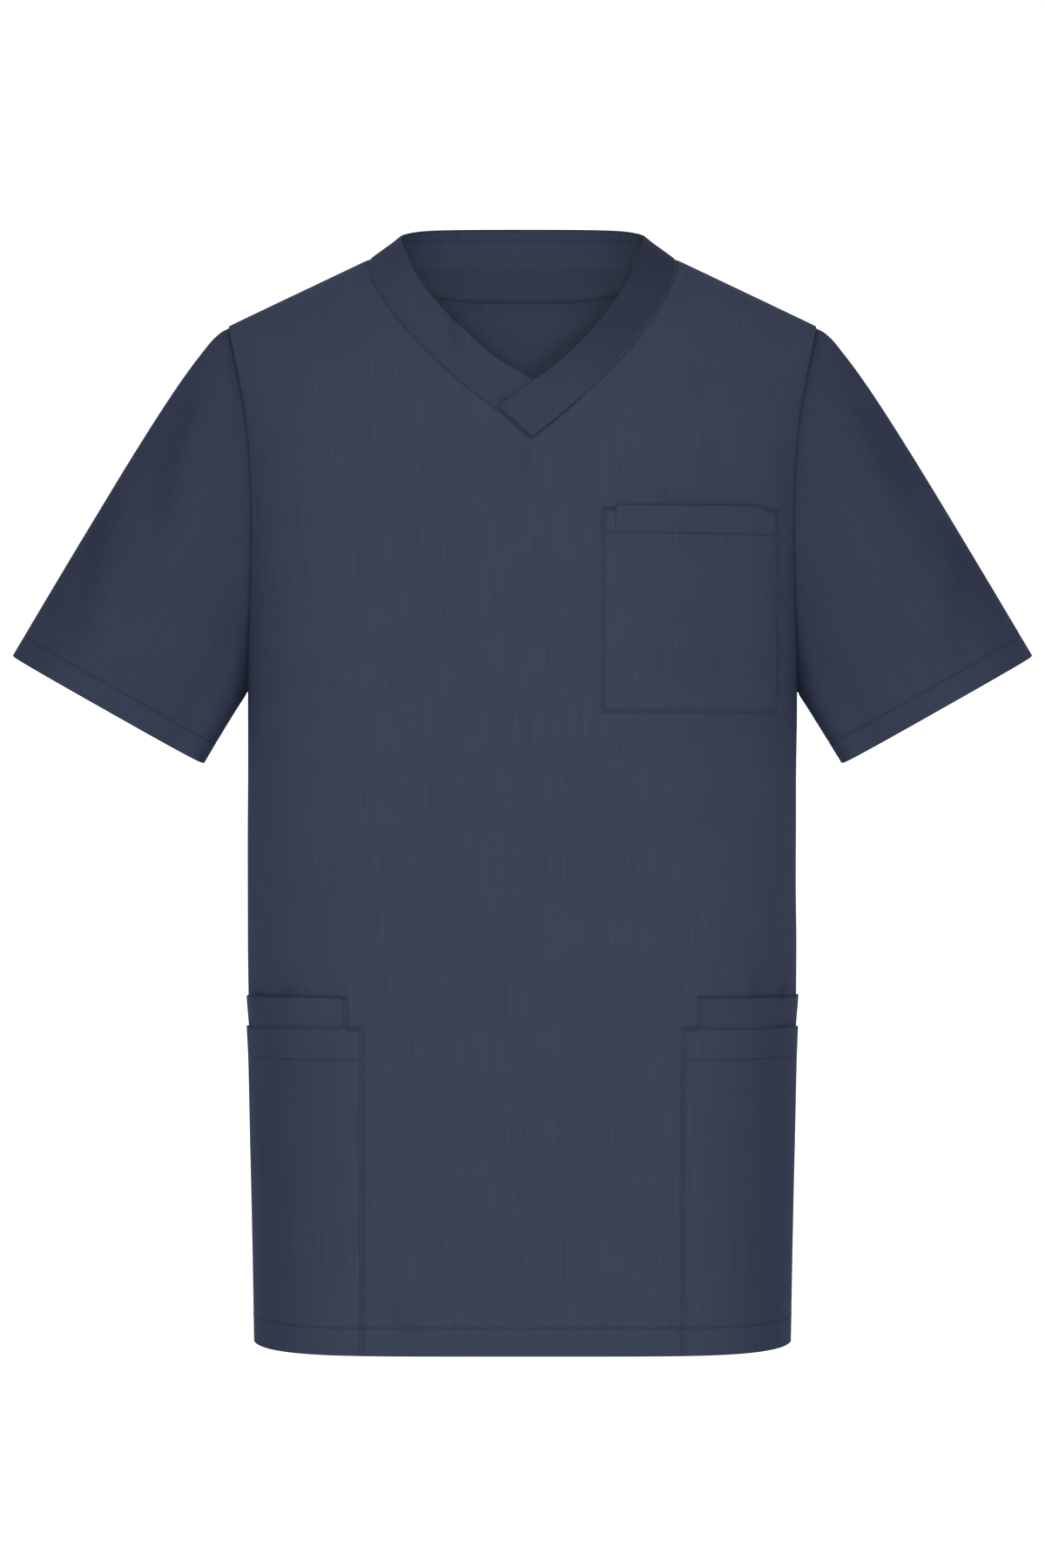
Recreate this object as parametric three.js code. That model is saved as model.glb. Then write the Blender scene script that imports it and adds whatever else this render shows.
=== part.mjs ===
// A short-sleeved V-neck scrub top, filled out as on a wearer who isn't there, in millimetres.
// +Z is up, the front faces -Y and the wearer's left side is +X. The origin is midway between
// the two points where the shoulder seams meet the neckband, where the top hangs from the body.
import * as THREE from 'three';

// Cloth
const CLOTH = 1.0;
const HEM_FOLD = 0.9;
const BAND_CLOTH = 1.6;
const SEAM_GAP = 0.3;
const CURVED_SEAM_GAP = 0.5;
const LAYER_GAP = 0.5;

// Shoulders, neck and armholes
const SHOULDER_SLOPE = 0.52;
const RIDGE_POWER = 1.6;
const NECK_HALF = 109;
const NECK_DROP = 131.8;
const NECK_BOW = 1.6;
const NECK_LEAN = 5.9;
const BACK_NECK_DROP = 0.6;
const SHOULDER_POINT = { x: 209, z: -52 };
const ARMHOLE_HALF_DEPTH = 57;

// Neckband and the facing inside the back
const BAND_WIDTH = 30;
const BAND_LAP = { flat: 32, over: 52 };
const BAND_SKEW = 8.6;
const SHOULDER_LIFT = 0.09;
const LIFT_START = 0.6;
const BACK_LIFT = 0.34;
const FACING_HALF = 92;
const FACING_DROP = 20;
const FACING_TOP = 0.6;
const FACING_ROWS = [1, 0.6, 0.25];

// Hems
const HEM_DEPTH = 19;
const SLEEVE_HEM = 16;

// Sleeves: the cuff's middle, its half sizes and the way the sleeve points
const CUFF = { x: 294.5, z: -320, halfWidth: 77, halfDepth: 53, power: 2.3 };
const CUFF_TILT = THREE.MathUtils.degToRad(29.5);
const SLEEVE_TILT = THREE.MathUtils.degToRad(58);
const SLEEVE_TOP = { pull: 1.2, leave: 0.095 };
const SLEEVE_UNDER = { pull: 0.4, leave: 0.13 };
const SLEEVE_ARRIVE = 0.72;
const HEM_STEP = 1.5;

// Pockets
const CHEST_POCKET = { inner: 56, outer: 176, top: -178, bottom: -322 };
const CORNER_DIP = { drop: 3, power: 6 };
const OUTER_POCKET = { inner: 110, top: -541, sideDrop: 4, lapped: [119] };
const INNER_POCKET = { inner: 121.5, top: -518, sideDrop: 5, lapped: [] };
const POCKET_SHARED = 128;
const POCKET_HEM = 20;
const POCKET_GAPE = 1.2;
const POCKET_FOLD = 0.3;
const POCKET_COLUMNS = 15;
const POCKET_ROWS = [0, 0.22, 0.45, 0.68];

// The body's cross sections, each a rounded box: half width, and depth to the front and back
const BODY = [
  { name: 'hem', z: -767, halfWidth: 188.4, front: 129, back: 124 },
  { name: 'pocket bag', z: -700, halfWidth: 189.6, front: 128.5, back: 122 },
  { name: 'hip', z: -620, halfWidth: 191.4, front: 128, back: 119 },
  { name: 'lower pocket top', z: -545, halfWidth: 193.2, front: 127, back: 117 },
  { name: 'upper pocket top', z: -522, halfWidth: 194.6, front: 126.5, back: 116.5 },
  { name: 'waist', z: -440, halfWidth: 195, front: 124.5, back: 116 },
  { name: 'underarm', z: -308, halfWidth: 195.3, front: 121, back: 119 },
  { name: 'chest', z: -220, halfWidth: 195.3, front: 119, back: 120 },
  { name: 'neck point', z: -130, halfWidth: 195.3, front: 108, back: 115 },
  { name: 'shoulder', z: 0, halfWidth: 195.3, front: 97, back: 102 },
  { name: 'collar', z: 60, halfWidth: 195.3, front: 92, back: 95 },
];

// The armhole seam as seen from the front
const ARMHOLE = [
  { name: 'underarm', z: -308, x: 195.3 },
  { name: 'curve', z: -296, x: 194.2 },
  { name: 'low', z: -274, x: 193 },
  { name: 'side of chest', z: -237, x: 191.2 },
  { name: 'narrowest', z: -187, x: 190.3 },
  { name: 'blade', z: -150, x: 191.4 },
  { name: 'high', z: -113, x: 195 },
  { name: 'cap', z: -82, x: 201 },
  { name: 'shoulder point', z: -52, x: 209 },
];

// The two halves of the body: how far the shoulder rounds over, and how boxy the section is
const FRONT = { sign: -1, depthKey: 'front', rounding: 150, boxX: 5.5, boxY: 2 };
const BACK = { sign: 1, depthKey: 'back', rounding: 120, boxX: 5, boxY: 2 };

// Heights of the grid rows below the underarm, and the counts of rows and columns above it
const LOWER_ROWS = [-767, -758, -749, -746, -700, -650, -600, -550, -500, -440, -375, -308];
const UPPER_ROWS = 14;
const SHOULDER_COLUMNS = 5;
const NECK_COLUMNS = 10;
const SLEEVE_ROWS = [0, 0.06, 0.16, 0.3, 0.46, 0.63, 0.82];
const BAND_ROWS = 3;

const UNDERARM_Z = ARMHOLE[0].z;

// The armhole is read this far below its tip, where it is level. A normal comes from two places
// a step apart, and these many rounds settle a section's radius and a spot's height
const BELOW_TIP = 0.01;
const STEP = 1e-3;
const RADIUS_ROUNDS = 12;
const HEIGHT_ROUNDS = 30;
const EDGE_SLOPE = [-3, 4, -1];

const smoothstep = (from, to, value) => THREE.MathUtils.smoothstep(value, from, to);
const lerp = THREE.MathUtils.lerp;

// A smooth curve through one named column of a table whose rows rise in z
function column(table, key, z) {
  const last = table.length - 1;
  if (z <= table[0].z) return table[0][key];
  if (z >= table[last].z) return table[last][key];
  const i = table.findIndex((row) => row.z >= z) - 1;
  const rise = (k) => (table[k + 1][key] - table[k][key]) / (table[k + 1].z - table[k].z);
  const slope = (k) => {
    if (k === 0) return rise(0);
    if (k === last) return rise(last - 1);
    const product = rise(k - 1) * rise(k);
    return product <= 0 ? 0 : (2 * product) / (rise(k - 1) + rise(k));
  };
  const span = table[i + 1].z - table[i].z;
  const t = (z - table[i].z) / span;
  const passed = 3 * t ** 2 - 2 * t ** 3;
  const leaving = (t ** 3 - 2 * t ** 2 + t) * span * slope(i);
  const arriving = (t ** 3 - t ** 2) * span * slope(i + 1);
  return lerp(table[i][key], table[i + 1][key], passed) + leaving + arriving;
}

// Height of the shoulder line above a place across the body, levelling off inside the neck
function ridge(x) {
  const out = Math.abs(x) / NECK_HALF;
  if (out > 1) return -SHOULDER_SLOPE * NECK_HALF * (out - 1);
  return (SHOULDER_SLOPE * NECK_HALF * (1 - out ** RIDGE_POWER)) / RIDGE_POWER;
}

// How far round the shoulder a height lies, as an angle from the shoulder line
function shoulderAngle(half, x, z) {
  const below = (ridge(x) - z) / half.rounding;
  return below < 1 ? Math.acos(1 - Math.max(0, below)) : Math.PI / 2 + (below - 1);
}

// Share of the full depth that is left near the shoulder line
const shoulderShare = (angle) => (Math.abs(angle) < Math.PI / 2 ? Math.sin(angle) : Math.sign(angle));

// Half width of the section at a height: above the underarm it runs through the armhole seam
function sectionHalfWidth(half, z) {
  if (z <= UNDERARM_Z) return column(BODY, 'halfWidth', z);
  const height = Math.min(z, SHOULDER_POINT.z - BELOW_TIP);
  const middle = (UNDERARM_Z + SHOULDER_POINT.z) / 2;
  const reach = (SHOULDER_POINT.z - UNDERARM_Z) / 2;
  const seamY = ARMHOLE_HALF_DEPTH * Math.sqrt(1 - ((height - middle) / reach) ** 2);
  const seamX = column(ARMHOLE, 'x', height);
  const angle = shoulderAngle(half, seamX, height);
  const full = column(BODY, half.depthKey, height) * shoulderShare(angle);
  return seamX / (1 - (seamY / full) ** half.boxY) ** (1 / half.boxX);
}

// A point of the unit rounded box, from its turn round the body: 0 at the middle, 1 at the side
function unitSection(half, turn) {
  const sin = Math.sin((turn * Math.PI) / 2);
  const cos = Math.cos((turn * Math.PI) / 2);
  let radius = 1;
  for (let i = 0; i < RADIUS_ROUNDS; i += 1) {
    const partX = Math.abs(radius * sin) ** half.boxX;
    const partY = Math.abs(radius * cos) ** half.boxY;
    radius -= (partX + partY - 1) / ((half.boxX * partX + half.boxY * partY) / radius);
  }
  return { x: radius * sin, y: radius * cos };
}

// Turn round the body of a place across it, at a height
function turnAt(half, x, z) {
  const unitX = Math.min(1, Math.abs(x) / sectionHalfWidth(half, z));
  const unitY = Math.max(0, 1 - unitX ** half.boxX) ** (1 / half.boxY);
  return (Math.sign(x) * Math.atan2(unitX, unitY) * 2) / Math.PI;
}

// A point of the body's outer surface, from its turn and its angle down from the shoulder line
function surface(half, turn, angle) {
  const unit = unitSection(half, turn);
  const fall = Math.abs(angle) < Math.PI / 2 ? 1 - Math.cos(angle) : Math.abs(angle) - Math.PI / 2 + 1;
  let x = unit.x * NECK_HALF;
  let z = 0;
  for (let i = 0; i < HEIGHT_ROUNDS; i += 1) {
    z = ridge(x) - half.rounding * fall;
    x = unit.x * sectionHalfWidth(half, z);
  }
  const y = half.sign * column(BODY, half.depthKey, z) * shoulderShare(angle) * unit.y;
  return new THREE.Vector3(x, y, z);
}

// The same point with the surface's outward normal, and moved off the seam plane by half a gap
function spot(half, turn, angle) {
  const across = surface(half, turn + STEP, angle).sub(surface(half, turn - STEP, angle));
  const down = surface(half, turn, angle + STEP).sub(surface(half, turn, angle - STEP));
  const normal = across.cross(down).normalize().multiplyScalar(half.sign);
  const point = surface(half, turn, angle);
  point.y += (half.sign * SEAM_GAP) / 2;
  return { point, normal };
}

// A spot at a turn and a height, and one at a place across the body and a height
function spotAtHeight(half, turn, z) {
  const x = unitSection(half, turn).x * sectionHalfWidth(half, z);
  return spot(half, turn, shoulderAngle(half, x, z));
}
const spotAt = (half, x, z) => spotAtHeight(half, turnAt(half, x, z), z);

// The top edge of a panel, side to side: shoulder seam, neckline and shoulder seam
function frontNeck(side, share) {
  const drop = NECK_DROP * (1 - Math.cos((share * Math.PI) / 2));
  const low = drop / NECK_DROP;
  const x = side * NECK_HALF * (1 - low ** NECK_BOW) + NECK_LEAN * smoothstep(0, 1, low);
  return { x, z: -drop };
}
function backNeck(side, share) {
  const x = side * NECK_HALF * Math.cos((share * Math.PI) / 2);
  return { x, z: -BACK_NECK_DROP * Math.sin((share * Math.PI) / 2) ** 2 };
}
function topEdge(neck) {
  const edge = [];
  for (const side of [-1, 1]) {
    const half = [];
    for (let i = 0; i < SHOULDER_COLUMNS; i += 1) {
      const x = lerp(SHOULDER_POINT.x, NECK_HALF, i / SHOULDER_COLUMNS);
      half.push({ x: side * x, z: ridge(x) });
    }
    for (let i = 0; i <= NECK_COLUMNS; i += 1) {
      half.push(neck(side, i / NECK_COLUMNS));
    }
    edge.push(...(side < 0 ? half : half.reverse().slice(1)));
  }
  return edge;
}

// The grid of spots of one body panel, from the hem up to its shoulder seams and neckline
function panelGrid(half, neck) {
  const top = topEdge(neck);
  const columns = top.length - 1;
  const sideTurn = (z) => {
    if (z <= UNDERARM_Z) return 1;
    const height = Math.min(z, SHOULDER_POINT.z - BELOW_TIP);
    return turnAt(half, column(ARMHOLE, 'x', height), height);
  };
  const rows = LOWER_ROWS.slice(0, -1).map((z) =>
    top.map((_, i) => spotAtHeight(half, (2 * i) / columns - 1, z)));
  for (let j = 0; j <= UPPER_ROWS; j += 1) {
    const climb = (1 - Math.cos((Math.PI * j) / UPPER_ROWS)) / 2;
    rows.push(top.map((place, i) => {
      const z = lerp(UNDERARM_Z, place.z, climb);
      const topTurn = turnAt(half, place.x, place.z) / sideTurn(place.z);
      const share = lerp((2 * i) / columns - 1, topTurn, j / UPPER_ROWS);
      return spotAtHeight(half, share * sideTurn(z), z);
    }));
  }
  return rows;
}

// Normals of a free grid of points, from its neighbours
function withNormals(points, closed) {
  const slope = (get, i, count, loop) => {
    if (loop) return get((i + 1) % count).clone().sub(get((i + count - 1) % count));
    if (i > 0 && i < count - 1) return get(i + 1).clone().sub(get(i - 1));
    const inward = i === 0 ? 1 : -1;
    const total = new THREE.Vector3();
    EDGE_SLOPE.forEach((share, k) => total.addScaledVector(get(i + k * inward), share));
    return total.multiplyScalar(inward);
  };
  return points.map((row, j) => row.map((point, i) => {
    const along = slope((k) => points[j][k], i, row.length, closed);
    const up = slope((k) => points[k][i], j, points.length, false);
    return { point, normal: along.cross(up).normalize() };
  }));
}

// A wall from a grid of spots: its outer skin is raised by raise(j, i), its inner one by sink(j, i)
function wall(grid, raise, sink, closed = false) {
  const rows = grid.length;
  const columns = grid[0].length;
  const lift = (amount) => grid.flatMap((row, j) =>
    row.map(({ point, normal }, i) => point.clone().addScaledVector(normal, amount(j, i))));
  const corners = [...lift(raise), ...lift(sink)];
  const inner = rows * columns;
  const at = (j, i) => j * columns + (i % columns);
  const spans = closed ? columns : columns - 1;
  const faces = [];
  const quad = (a, b, c, d) => faces.push(a, b, c, a, c, d);
  for (let j = 0; j < rows - 1; j += 1) {
    for (let i = 0; i < spans; i += 1) {
      quad(at(j, i), at(j, i + 1), at(j + 1, i + 1), at(j + 1, i));
      quad(inner + at(j, i), inner + at(j + 1, i), inner + at(j + 1, i + 1), inner + at(j, i + 1));
    }
    if (!closed) {
      const end = columns - 1;
      quad(at(j, 0), at(j + 1, 0), inner + at(j + 1, 0), inner + at(j, 0));
      quad(at(j, end), inner + at(j, end), inner + at(j + 1, end), at(j + 1, end));
    }
  }
  for (let i = 0; i < spans; i += 1) {
    const top = rows - 1;
    quad(at(0, i), inner + at(0, i), inner + at(0, i + 1), at(0, i + 1));
    quad(at(top, i), at(top, i + 1), inner + at(top, i + 1), inner + at(top, i));
  }
  const geometry = new THREE.BufferGeometry();
  const positions = corners.flatMap((corner) => corner.toArray());
  geometry.setAttribute('position', new THREE.Float32BufferAttribute(positions, 3));
  geometry.setIndex(faces);
  geometry.computeVertexNormals();
  return geometry;
}

// Grids run left to right seen from outside, so the back is mirrored to face its skin outward
const facing = (half, grid) => (half.sign < 0 ? grid : grid.map((row) => [...row].reverse()));

// Front and back panels, thicker over the folded hem
function bodyPanel(half, grid) {
  const hemFold = (j) => (LOWER_ROWS[j] <= BODY[0].z + HEM_DEPTH ? HEM_FOLD : 0);
  return wall(facing(half, grid), () => 0, (j) => -CLOTH - hemFold(j));
}

// The armhole loop, from the shoulder point down the front, under the arm and up the back:
// the middle of the panels' edge, and the way off the edge in the cloth
function armhole(side, frontGrid, backGrid) {
  const edge = (grid) => {
    const end = side < 0 ? 0 : grid[0].length - 1;
    return grid.slice(LOWER_ROWS.length - 1).map((row) => row[end]);
  };
  const front = edge(frontGrid).reverse();
  const back = edge(backGrid);
  const loop = [...front, ...back.slice(1, -1)];
  loop[0] = { point: front[0].point.clone().setY(0), normal: front[0].normal };
  loop[front.length - 1] = { point: back[0].point.clone().setY(0), normal: back[0].normal };
  return loop.map((place, i) => {
    const next = loop[(i + 1) % loop.length].point;
    const before = loop[(i + loop.length - 1) % loop.length].point;
    const along = next.clone().sub(before).normalize();
    const off = along.clone().cross(place.normal).multiplyScalar(-side).normalize();
    return { point: place.point.clone().addScaledVector(place.normal, -CLOTH / 2), off };
  });
}

// A sleeve: one smooth curve from each point of the armhole down to the cuff
function sleeve(side, loop) {
  const axis = new THREE.Vector3(side * Math.cos(SLEEVE_TILT), 0, -Math.sin(SLEEVE_TILT));
  const cuffAxis = new THREE.Vector3(side * Math.sin(CUFF_TILT), 0, -Math.cos(CUFF_TILT));
  const cuffAcross = new THREE.Vector3(side * Math.cos(CUFF_TILT), 0, Math.sin(CUFF_TILT));
  const middle = new THREE.Vector3(side * CUFF.x, 0, CUFF.z);
  const curves = loop.map(({ point, off }, i) => {
    const share = i / loop.length;
    const turn = 2 * Math.PI * share;
    const high = (1 + Math.cos(turn)) / 2;
    const pull = lerp(SLEEVE_UNDER.pull, SLEEVE_TOP.pull, high ** 2);
    const start = axis.clone().addScaledVector(off, pull).normalize();
    const bend = Math.acos(THREE.MathUtils.clamp(start.dot(off), -1, 1));
    const acute = CURVED_SEAM_GAP + (CLOTH / 2) * Math.sin(bend);
    const obtuse = (CURVED_SEAM_GAP + (CLOTH / 2) * (1 + Math.abs(Math.cos(bend)))) / Math.sin(bend);
    const from = point.clone().addScaledVector(off, bend < Math.PI / 2 ? acute : obtuse);
    const cosPart = Math.sign(Math.cos(turn)) * Math.abs(Math.cos(turn)) ** (2 / CUFF.power);
    const sinPart = Math.sign(Math.sin(turn)) * Math.abs(Math.sin(turn)) ** (2 / CUFF.power);
    const to = middle.clone().addScaledVector(cuffAcross, CUFF.halfWidth * cosPart);
    to.y -= CUFF.halfDepth * sinPart;
    const length = from.distanceTo(to);
    const reach = lerp(SLEEVE_UNDER.leave, SLEEVE_TOP.leave, high) * length;
    const leave = from.clone().addScaledVector(start, reach);
    const arrive = to.clone().addScaledVector(cuffAxis, -SLEEVE_ARRIVE * length);
    const curve = new THREE.CubicBezierCurve3(from, leave, arrive, to);
    return { curve, endSpeed: 3 * SLEEVE_ARRIVE * length };
  });
  const points = SLEEVE_ROWS.map((share) => curves.map(({ curve, endSpeed }) =>
    curve.getPoint(share * (1 - (SLEEVE_HEM + HEM_STEP) / endSpeed))));
  for (const left of [SLEEVE_HEM + HEM_STEP, SLEEVE_HEM, SLEEVE_HEM / 2, 0]) {
    points.push(curves.map(({ curve, endSpeed }) => curve.getPoint(1 - left / endSpeed)));
  }
  const order = side > 0 ? points.map((row) => [...row].reverse()) : points;
  const hemFirst = points.length - 3;
  const grid = withNormals([...order].reverse(), true);
  const inward = (j) => -CLOTH / 2 - (points.length - 1 - j >= hemFirst ? HEM_FOLD : 0);
  return wall(grid, () => CLOTH / 2, inward, true);
}

// The neckband's run along one stretch of neckline: each column starts at a spot of the seam
function bandGrid(half, spots, tilt, skew) {
  const mirrored = ({ x, y, z }) => new THREE.Vector3(x, -y, z);
  const neighbour = (i, step) => {
    if (spots[i + step]) return spots[i + step].point;
    return Math.abs(spots[i].point.y) < SEAM_GAP ? mirrored(spots[i - step].point) : spots[i].point;
  };
  const columns = spots.map(({ point, normal }, i) => {
    const along = neighbour(i, 1).clone().sub(neighbour(i, -1)).normalize();
    const inward = normal.clone().cross(along).normalize();
    const rise = tilt(i);
    const way = inward.multiplyScalar(Math.cos(rise)).addScaledVector(normal, Math.sin(rise));
    return { point, way, along: along.multiplyScalar(skew(i)) };
  });
  const points = [];
  for (let j = 0; j <= BAND_ROWS; j += 1) {
    const out = lerp(CURVED_SEAM_GAP, BAND_WIDTH, j / BAND_ROWS);
    points.push(columns.map(({ point, way, along }) =>
      point.clone().addScaledVector(way, out).addScaledVector(along, out / BAND_WIDTH)));
  }
  return withNormals(points, false);
}

// Lengths along a row of spots, measured from its last one
function lengthsToEnd(spots) {
  const lengths = spots.map(() => 0);
  for (let i = spots.length - 2; i >= 0; i -= 1) {
    lengths[i] = lengths[i + 1] + spots[i].point.distanceTo(spots[i + 1].point);
  }
  return lengths;
}

// Front neckbands: the wearer's left one laps over the other at the V
function frontBand(side, frontGrid) {
  const top = frontGrid[frontGrid.length - 1];
  const run = top.slice(SHOULDER_COLUMNS, SHOULDER_COLUMNS + 2 * NECK_COLUMNS + 1);
  const spots = side < 0 ? run.slice(0, NECK_COLUMNS + 1) : run.slice(NECK_COLUMNS);
  const apex = side < 0 ? NECK_COLUMNS : 0;
  const far = side < 0 ? lengthsToEnd(spots) : lengthsToEnd([...spots].reverse()).reverse();
  const near = (i) => 1 - smoothstep(BAND_LAP.flat, BAND_LAP.over, far[i]);
  const tilt = (i) => SHOULDER_LIFT * smoothstep(LIFT_START, 1, far[i] / Math.max(...far));
  const skew = (i) => (side > 0 ? -BAND_SKEW * near(i) : 0);
  const grid = bandGrid(FRONT, spots, tilt, skew);
  const lap = (i) => (side > 0 ? (BAND_CLOTH + SEAM_GAP) * near(i) : 0);
  for (const row of grid) {
    const back = row[apex + side].point.clone().sub(row[apex].point).normalize();
    row[apex].point.addScaledVector(back, CURVED_SEAM_GAP);
  }
  return wall(grid, (j, i) => lap(i), (j, i) => lap(i) - BAND_CLOTH);
}

// The back neckband, standing up from the back neckline
function backBandGrid(backGrid) {
  const top = backGrid[backGrid.length - 1];
  const spots = top.slice(SHOULDER_COLUMNS, SHOULDER_COLUMNS + 2 * NECK_COLUMNS + 1).reverse();
  const tilt = (i) => lerp(BACK_LIFT, SHOULDER_LIFT, Math.abs(i / NECK_COLUMNS - 1) ** 2);
  return bandGrid(BACK, spots, tilt, () => 0);
}

// The facing inside the back: behind the band, and on down the back panel
function backFacing(backGrid, band) {
  const seam = band[0].map(({ point }) => point);
  const kept = seam.map((point, i) => i).filter((i) => Math.abs(seam[i].x) <= FACING_HALF);
  const lower = FACING_ROWS.map((share) => kept.map((i) =>
    spotAt(BACK, seam[i].x, seam[i].z - FACING_DROP * share).point));
  const upper = band.map((row) => kept.map((i) => row[i].point));
  const top = upper.length - 1;
  const lowered = (FACING_TOP * BAND_ROWS) / BAND_WIDTH;
  upper[top] = upper[top].map((point, i) => point.clone().lerp(upper[top - 1][i], lowered));
  const outside = -BAND_CLOTH - CURVED_SEAM_GAP;
  return wall(withNormals([...lower, ...upper], false), () => outside, () => outside - CLOTH);
}

// A patch that lies on the front: a grid of places, gaping a little along its top edge
function patch(side, places, base) {
  const rows = places.length - 1;
  const columns = places[0].length - 1;
  const grid = places.map((row) => row.map(({ x, z }) => spotAt(FRONT, side * x, z)));
  const gape = (j, i) => (j === rows ? POCKET_GAPE * Math.sin((Math.PI * i) / columns) ** 2 : 0);
  const fold = (j) => (j >= rows - 1 ? POCKET_FOLD : 0);
  const bottom = (j, i) => base(i) + LAYER_GAP + gape(j, i);
  const ordered = side < 0 ? grid.map((row) => [...row].reverse()) : grid;
  const sink = (j, i) => bottom(j, side < 0 ? columns - i : i);
  return wall(ordered, (j, i) => sink(j, i) + CLOTH + fold(j), sink);
}

// Shares of a pocket's height at which its rows lie: its own hem is the last of them
function pocketHeights(height) {
  const fold = 1 - POCKET_HEM / height;
  return [...POCKET_ROWS, fold - HEM_STEP / height, fold, 1];
}

// The chest pocket, its top corners a little lower than its top edge
function chestPocket() {
  const { inner, outer, top, bottom } = CHEST_POCKET;
  const places = pocketHeights(top - bottom).map((share) =>
    Array.from({ length: POCKET_COLUMNS + 1 }, (_, i) => {
      const dip = CORNER_DIP.drop * Math.abs((2 * i) / POCKET_COLUMNS - 1) ** CORNER_DIP.power;
      return { x: lerp(inner, outer, i / POCKET_COLUMNS), z: lerp(bottom, top - dip, share) };
    }));
  return patch(1, places, () => 0);
}

// A lower pocket, from its stitched edge round to the side seam and down to the hem
function lowerPocket(side, pocket, base) {
  const places = pocketHeights(pocket.top - BODY[0].z).map((share) => {
    const edge = lerp(BODY[0].z, pocket.top, share);
    const row = [pocket.inner, ...pocket.lapped].map((x) => ({ x, z: edge }));
    for (let i = 0; i <= POCKET_COLUMNS; i += 1) {
      const across = i / POCKET_COLUMNS;
      const z = lerp(BODY[0].z, pocket.top - pocket.sideDrop * across ** 2, share);
      const turn = lerp(turnAt(FRONT, POCKET_SHARED, z), 1, across);
      row.push({ x: unitSection(FRONT, turn).x * sectionHalfWidth(FRONT, z), z });
    }
    return row;
  });
  return patch(side, places, base);
}

// Finishes: one navy cloth, a little darker where it is doubled or inside
const cloth = (color) => new THREE.MeshStandardMaterial({ color, roughness: 0.85, metalness: 0 });
const NAVY = 0x2c3344;
const NAVY_BAND = 0x293040;
const NAVY_INSIDE = 0x232a39;

const scrubTop = new THREE.Group();
function add(name, geometry, color) {
  const mesh = new THREE.Mesh(geometry, cloth(color));
  mesh.name = name;
  scrubTop.add(mesh);
}

const frontGrid = panelGrid(FRONT, frontNeck);
const backGrid = panelGrid(BACK, backNeck);
add('front_panel', bodyPanel(FRONT, frontGrid), NAVY);
add('back_panel', bodyPanel(BACK, backGrid), NAVY);
for (const [side, name] of [[-1, 'right'], [1, 'left']]) {
  add(`sleeve_${name}`, sleeve(side, armhole(side, frontGrid, backGrid)), NAVY);
  add(`neckband_${name}`, frontBand(side, frontGrid), NAVY_BAND);
  add(`inner_pocket_${name}`, lowerPocket(side, INNER_POCKET, () => 0), NAVY);
  const overInner = (i) => (i > 0 ? CLOTH + LAYER_GAP : 0);
  add(`outer_pocket_${name}`, lowerPocket(side, OUTER_POCKET, overInner), NAVY);
}
const backBand = backBandGrid(backGrid);
add('neckband_back', wall(backBand, () => 0, () => -BAND_CLOTH), NAVY_BAND);
add('back_facing', backFacing(backGrid, backBand), NAVY_INSIDE);
add('chest_pocket', chestPocket(), NAVY);

export default scrubTop;
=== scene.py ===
"""A navy short-sleeved scrub top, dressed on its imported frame.

Every length is in millimetres in the frame's axes, where +Z is up, the front faces -Y and the
wearer's left is +X. A mesh is turned to metres when it is made. "Dusk" is the painted darkening
of the cloth where soft light leaves it darker, from 0 for none to 1 for black.
"""

from __future__ import annotations

import logging
import math
from dataclasses import dataclass, field
from enum import Enum
from typing import Sequence

import bpy
import numpy as np
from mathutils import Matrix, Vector
from mathutils.bvhtree import BVHTree
from mathutils.kdtree import KDTree

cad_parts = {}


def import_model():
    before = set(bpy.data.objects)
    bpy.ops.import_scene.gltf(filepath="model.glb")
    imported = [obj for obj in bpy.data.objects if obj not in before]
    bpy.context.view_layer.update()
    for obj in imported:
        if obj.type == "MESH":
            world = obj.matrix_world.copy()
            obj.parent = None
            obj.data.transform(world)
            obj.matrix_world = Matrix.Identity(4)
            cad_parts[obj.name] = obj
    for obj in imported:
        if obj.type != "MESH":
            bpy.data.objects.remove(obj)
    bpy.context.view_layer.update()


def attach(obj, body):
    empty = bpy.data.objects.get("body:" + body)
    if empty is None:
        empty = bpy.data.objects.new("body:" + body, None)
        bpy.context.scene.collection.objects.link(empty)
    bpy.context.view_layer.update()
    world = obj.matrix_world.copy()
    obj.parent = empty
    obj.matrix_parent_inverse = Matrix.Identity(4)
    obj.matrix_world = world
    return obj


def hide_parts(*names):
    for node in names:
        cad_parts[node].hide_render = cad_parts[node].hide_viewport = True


Array = np.ndarray
Stitches = tuple[list[Array], list[list[int]]]
LOG = logging.getLogger("scrub_top")
METRE = 0.001
CLOTH = 1.0  # thickness of a wall of cloth
BAND_CLOTH = 1.6  # thickness of the doubled neckband
HEM_FOLD = 0.9  # what a turned hem adds inside
SIDES = ((-1, "right"), (1, "left"))


class Slot(Enum):
    """The record's material slots."""

    CLOTH = "cloth"
    INSIDE = "cloth_inside"
    THREAD = "thread"


class View(Enum):
    """The side that a fold is drawn on, as the way it faces and the way that counts as across."""

    FRONT = ((0.0, -1.0, 0.0), 0)
    BACK = ((0.0, 1.0, 0.0), 0)
    LEFT = ((1.0, 0.0, 0.0), 1)
    RIGHT = ((-1.0, 0.0, 0.0), 1)


# ---------------------------------------------------------------------------------- numbers


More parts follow.
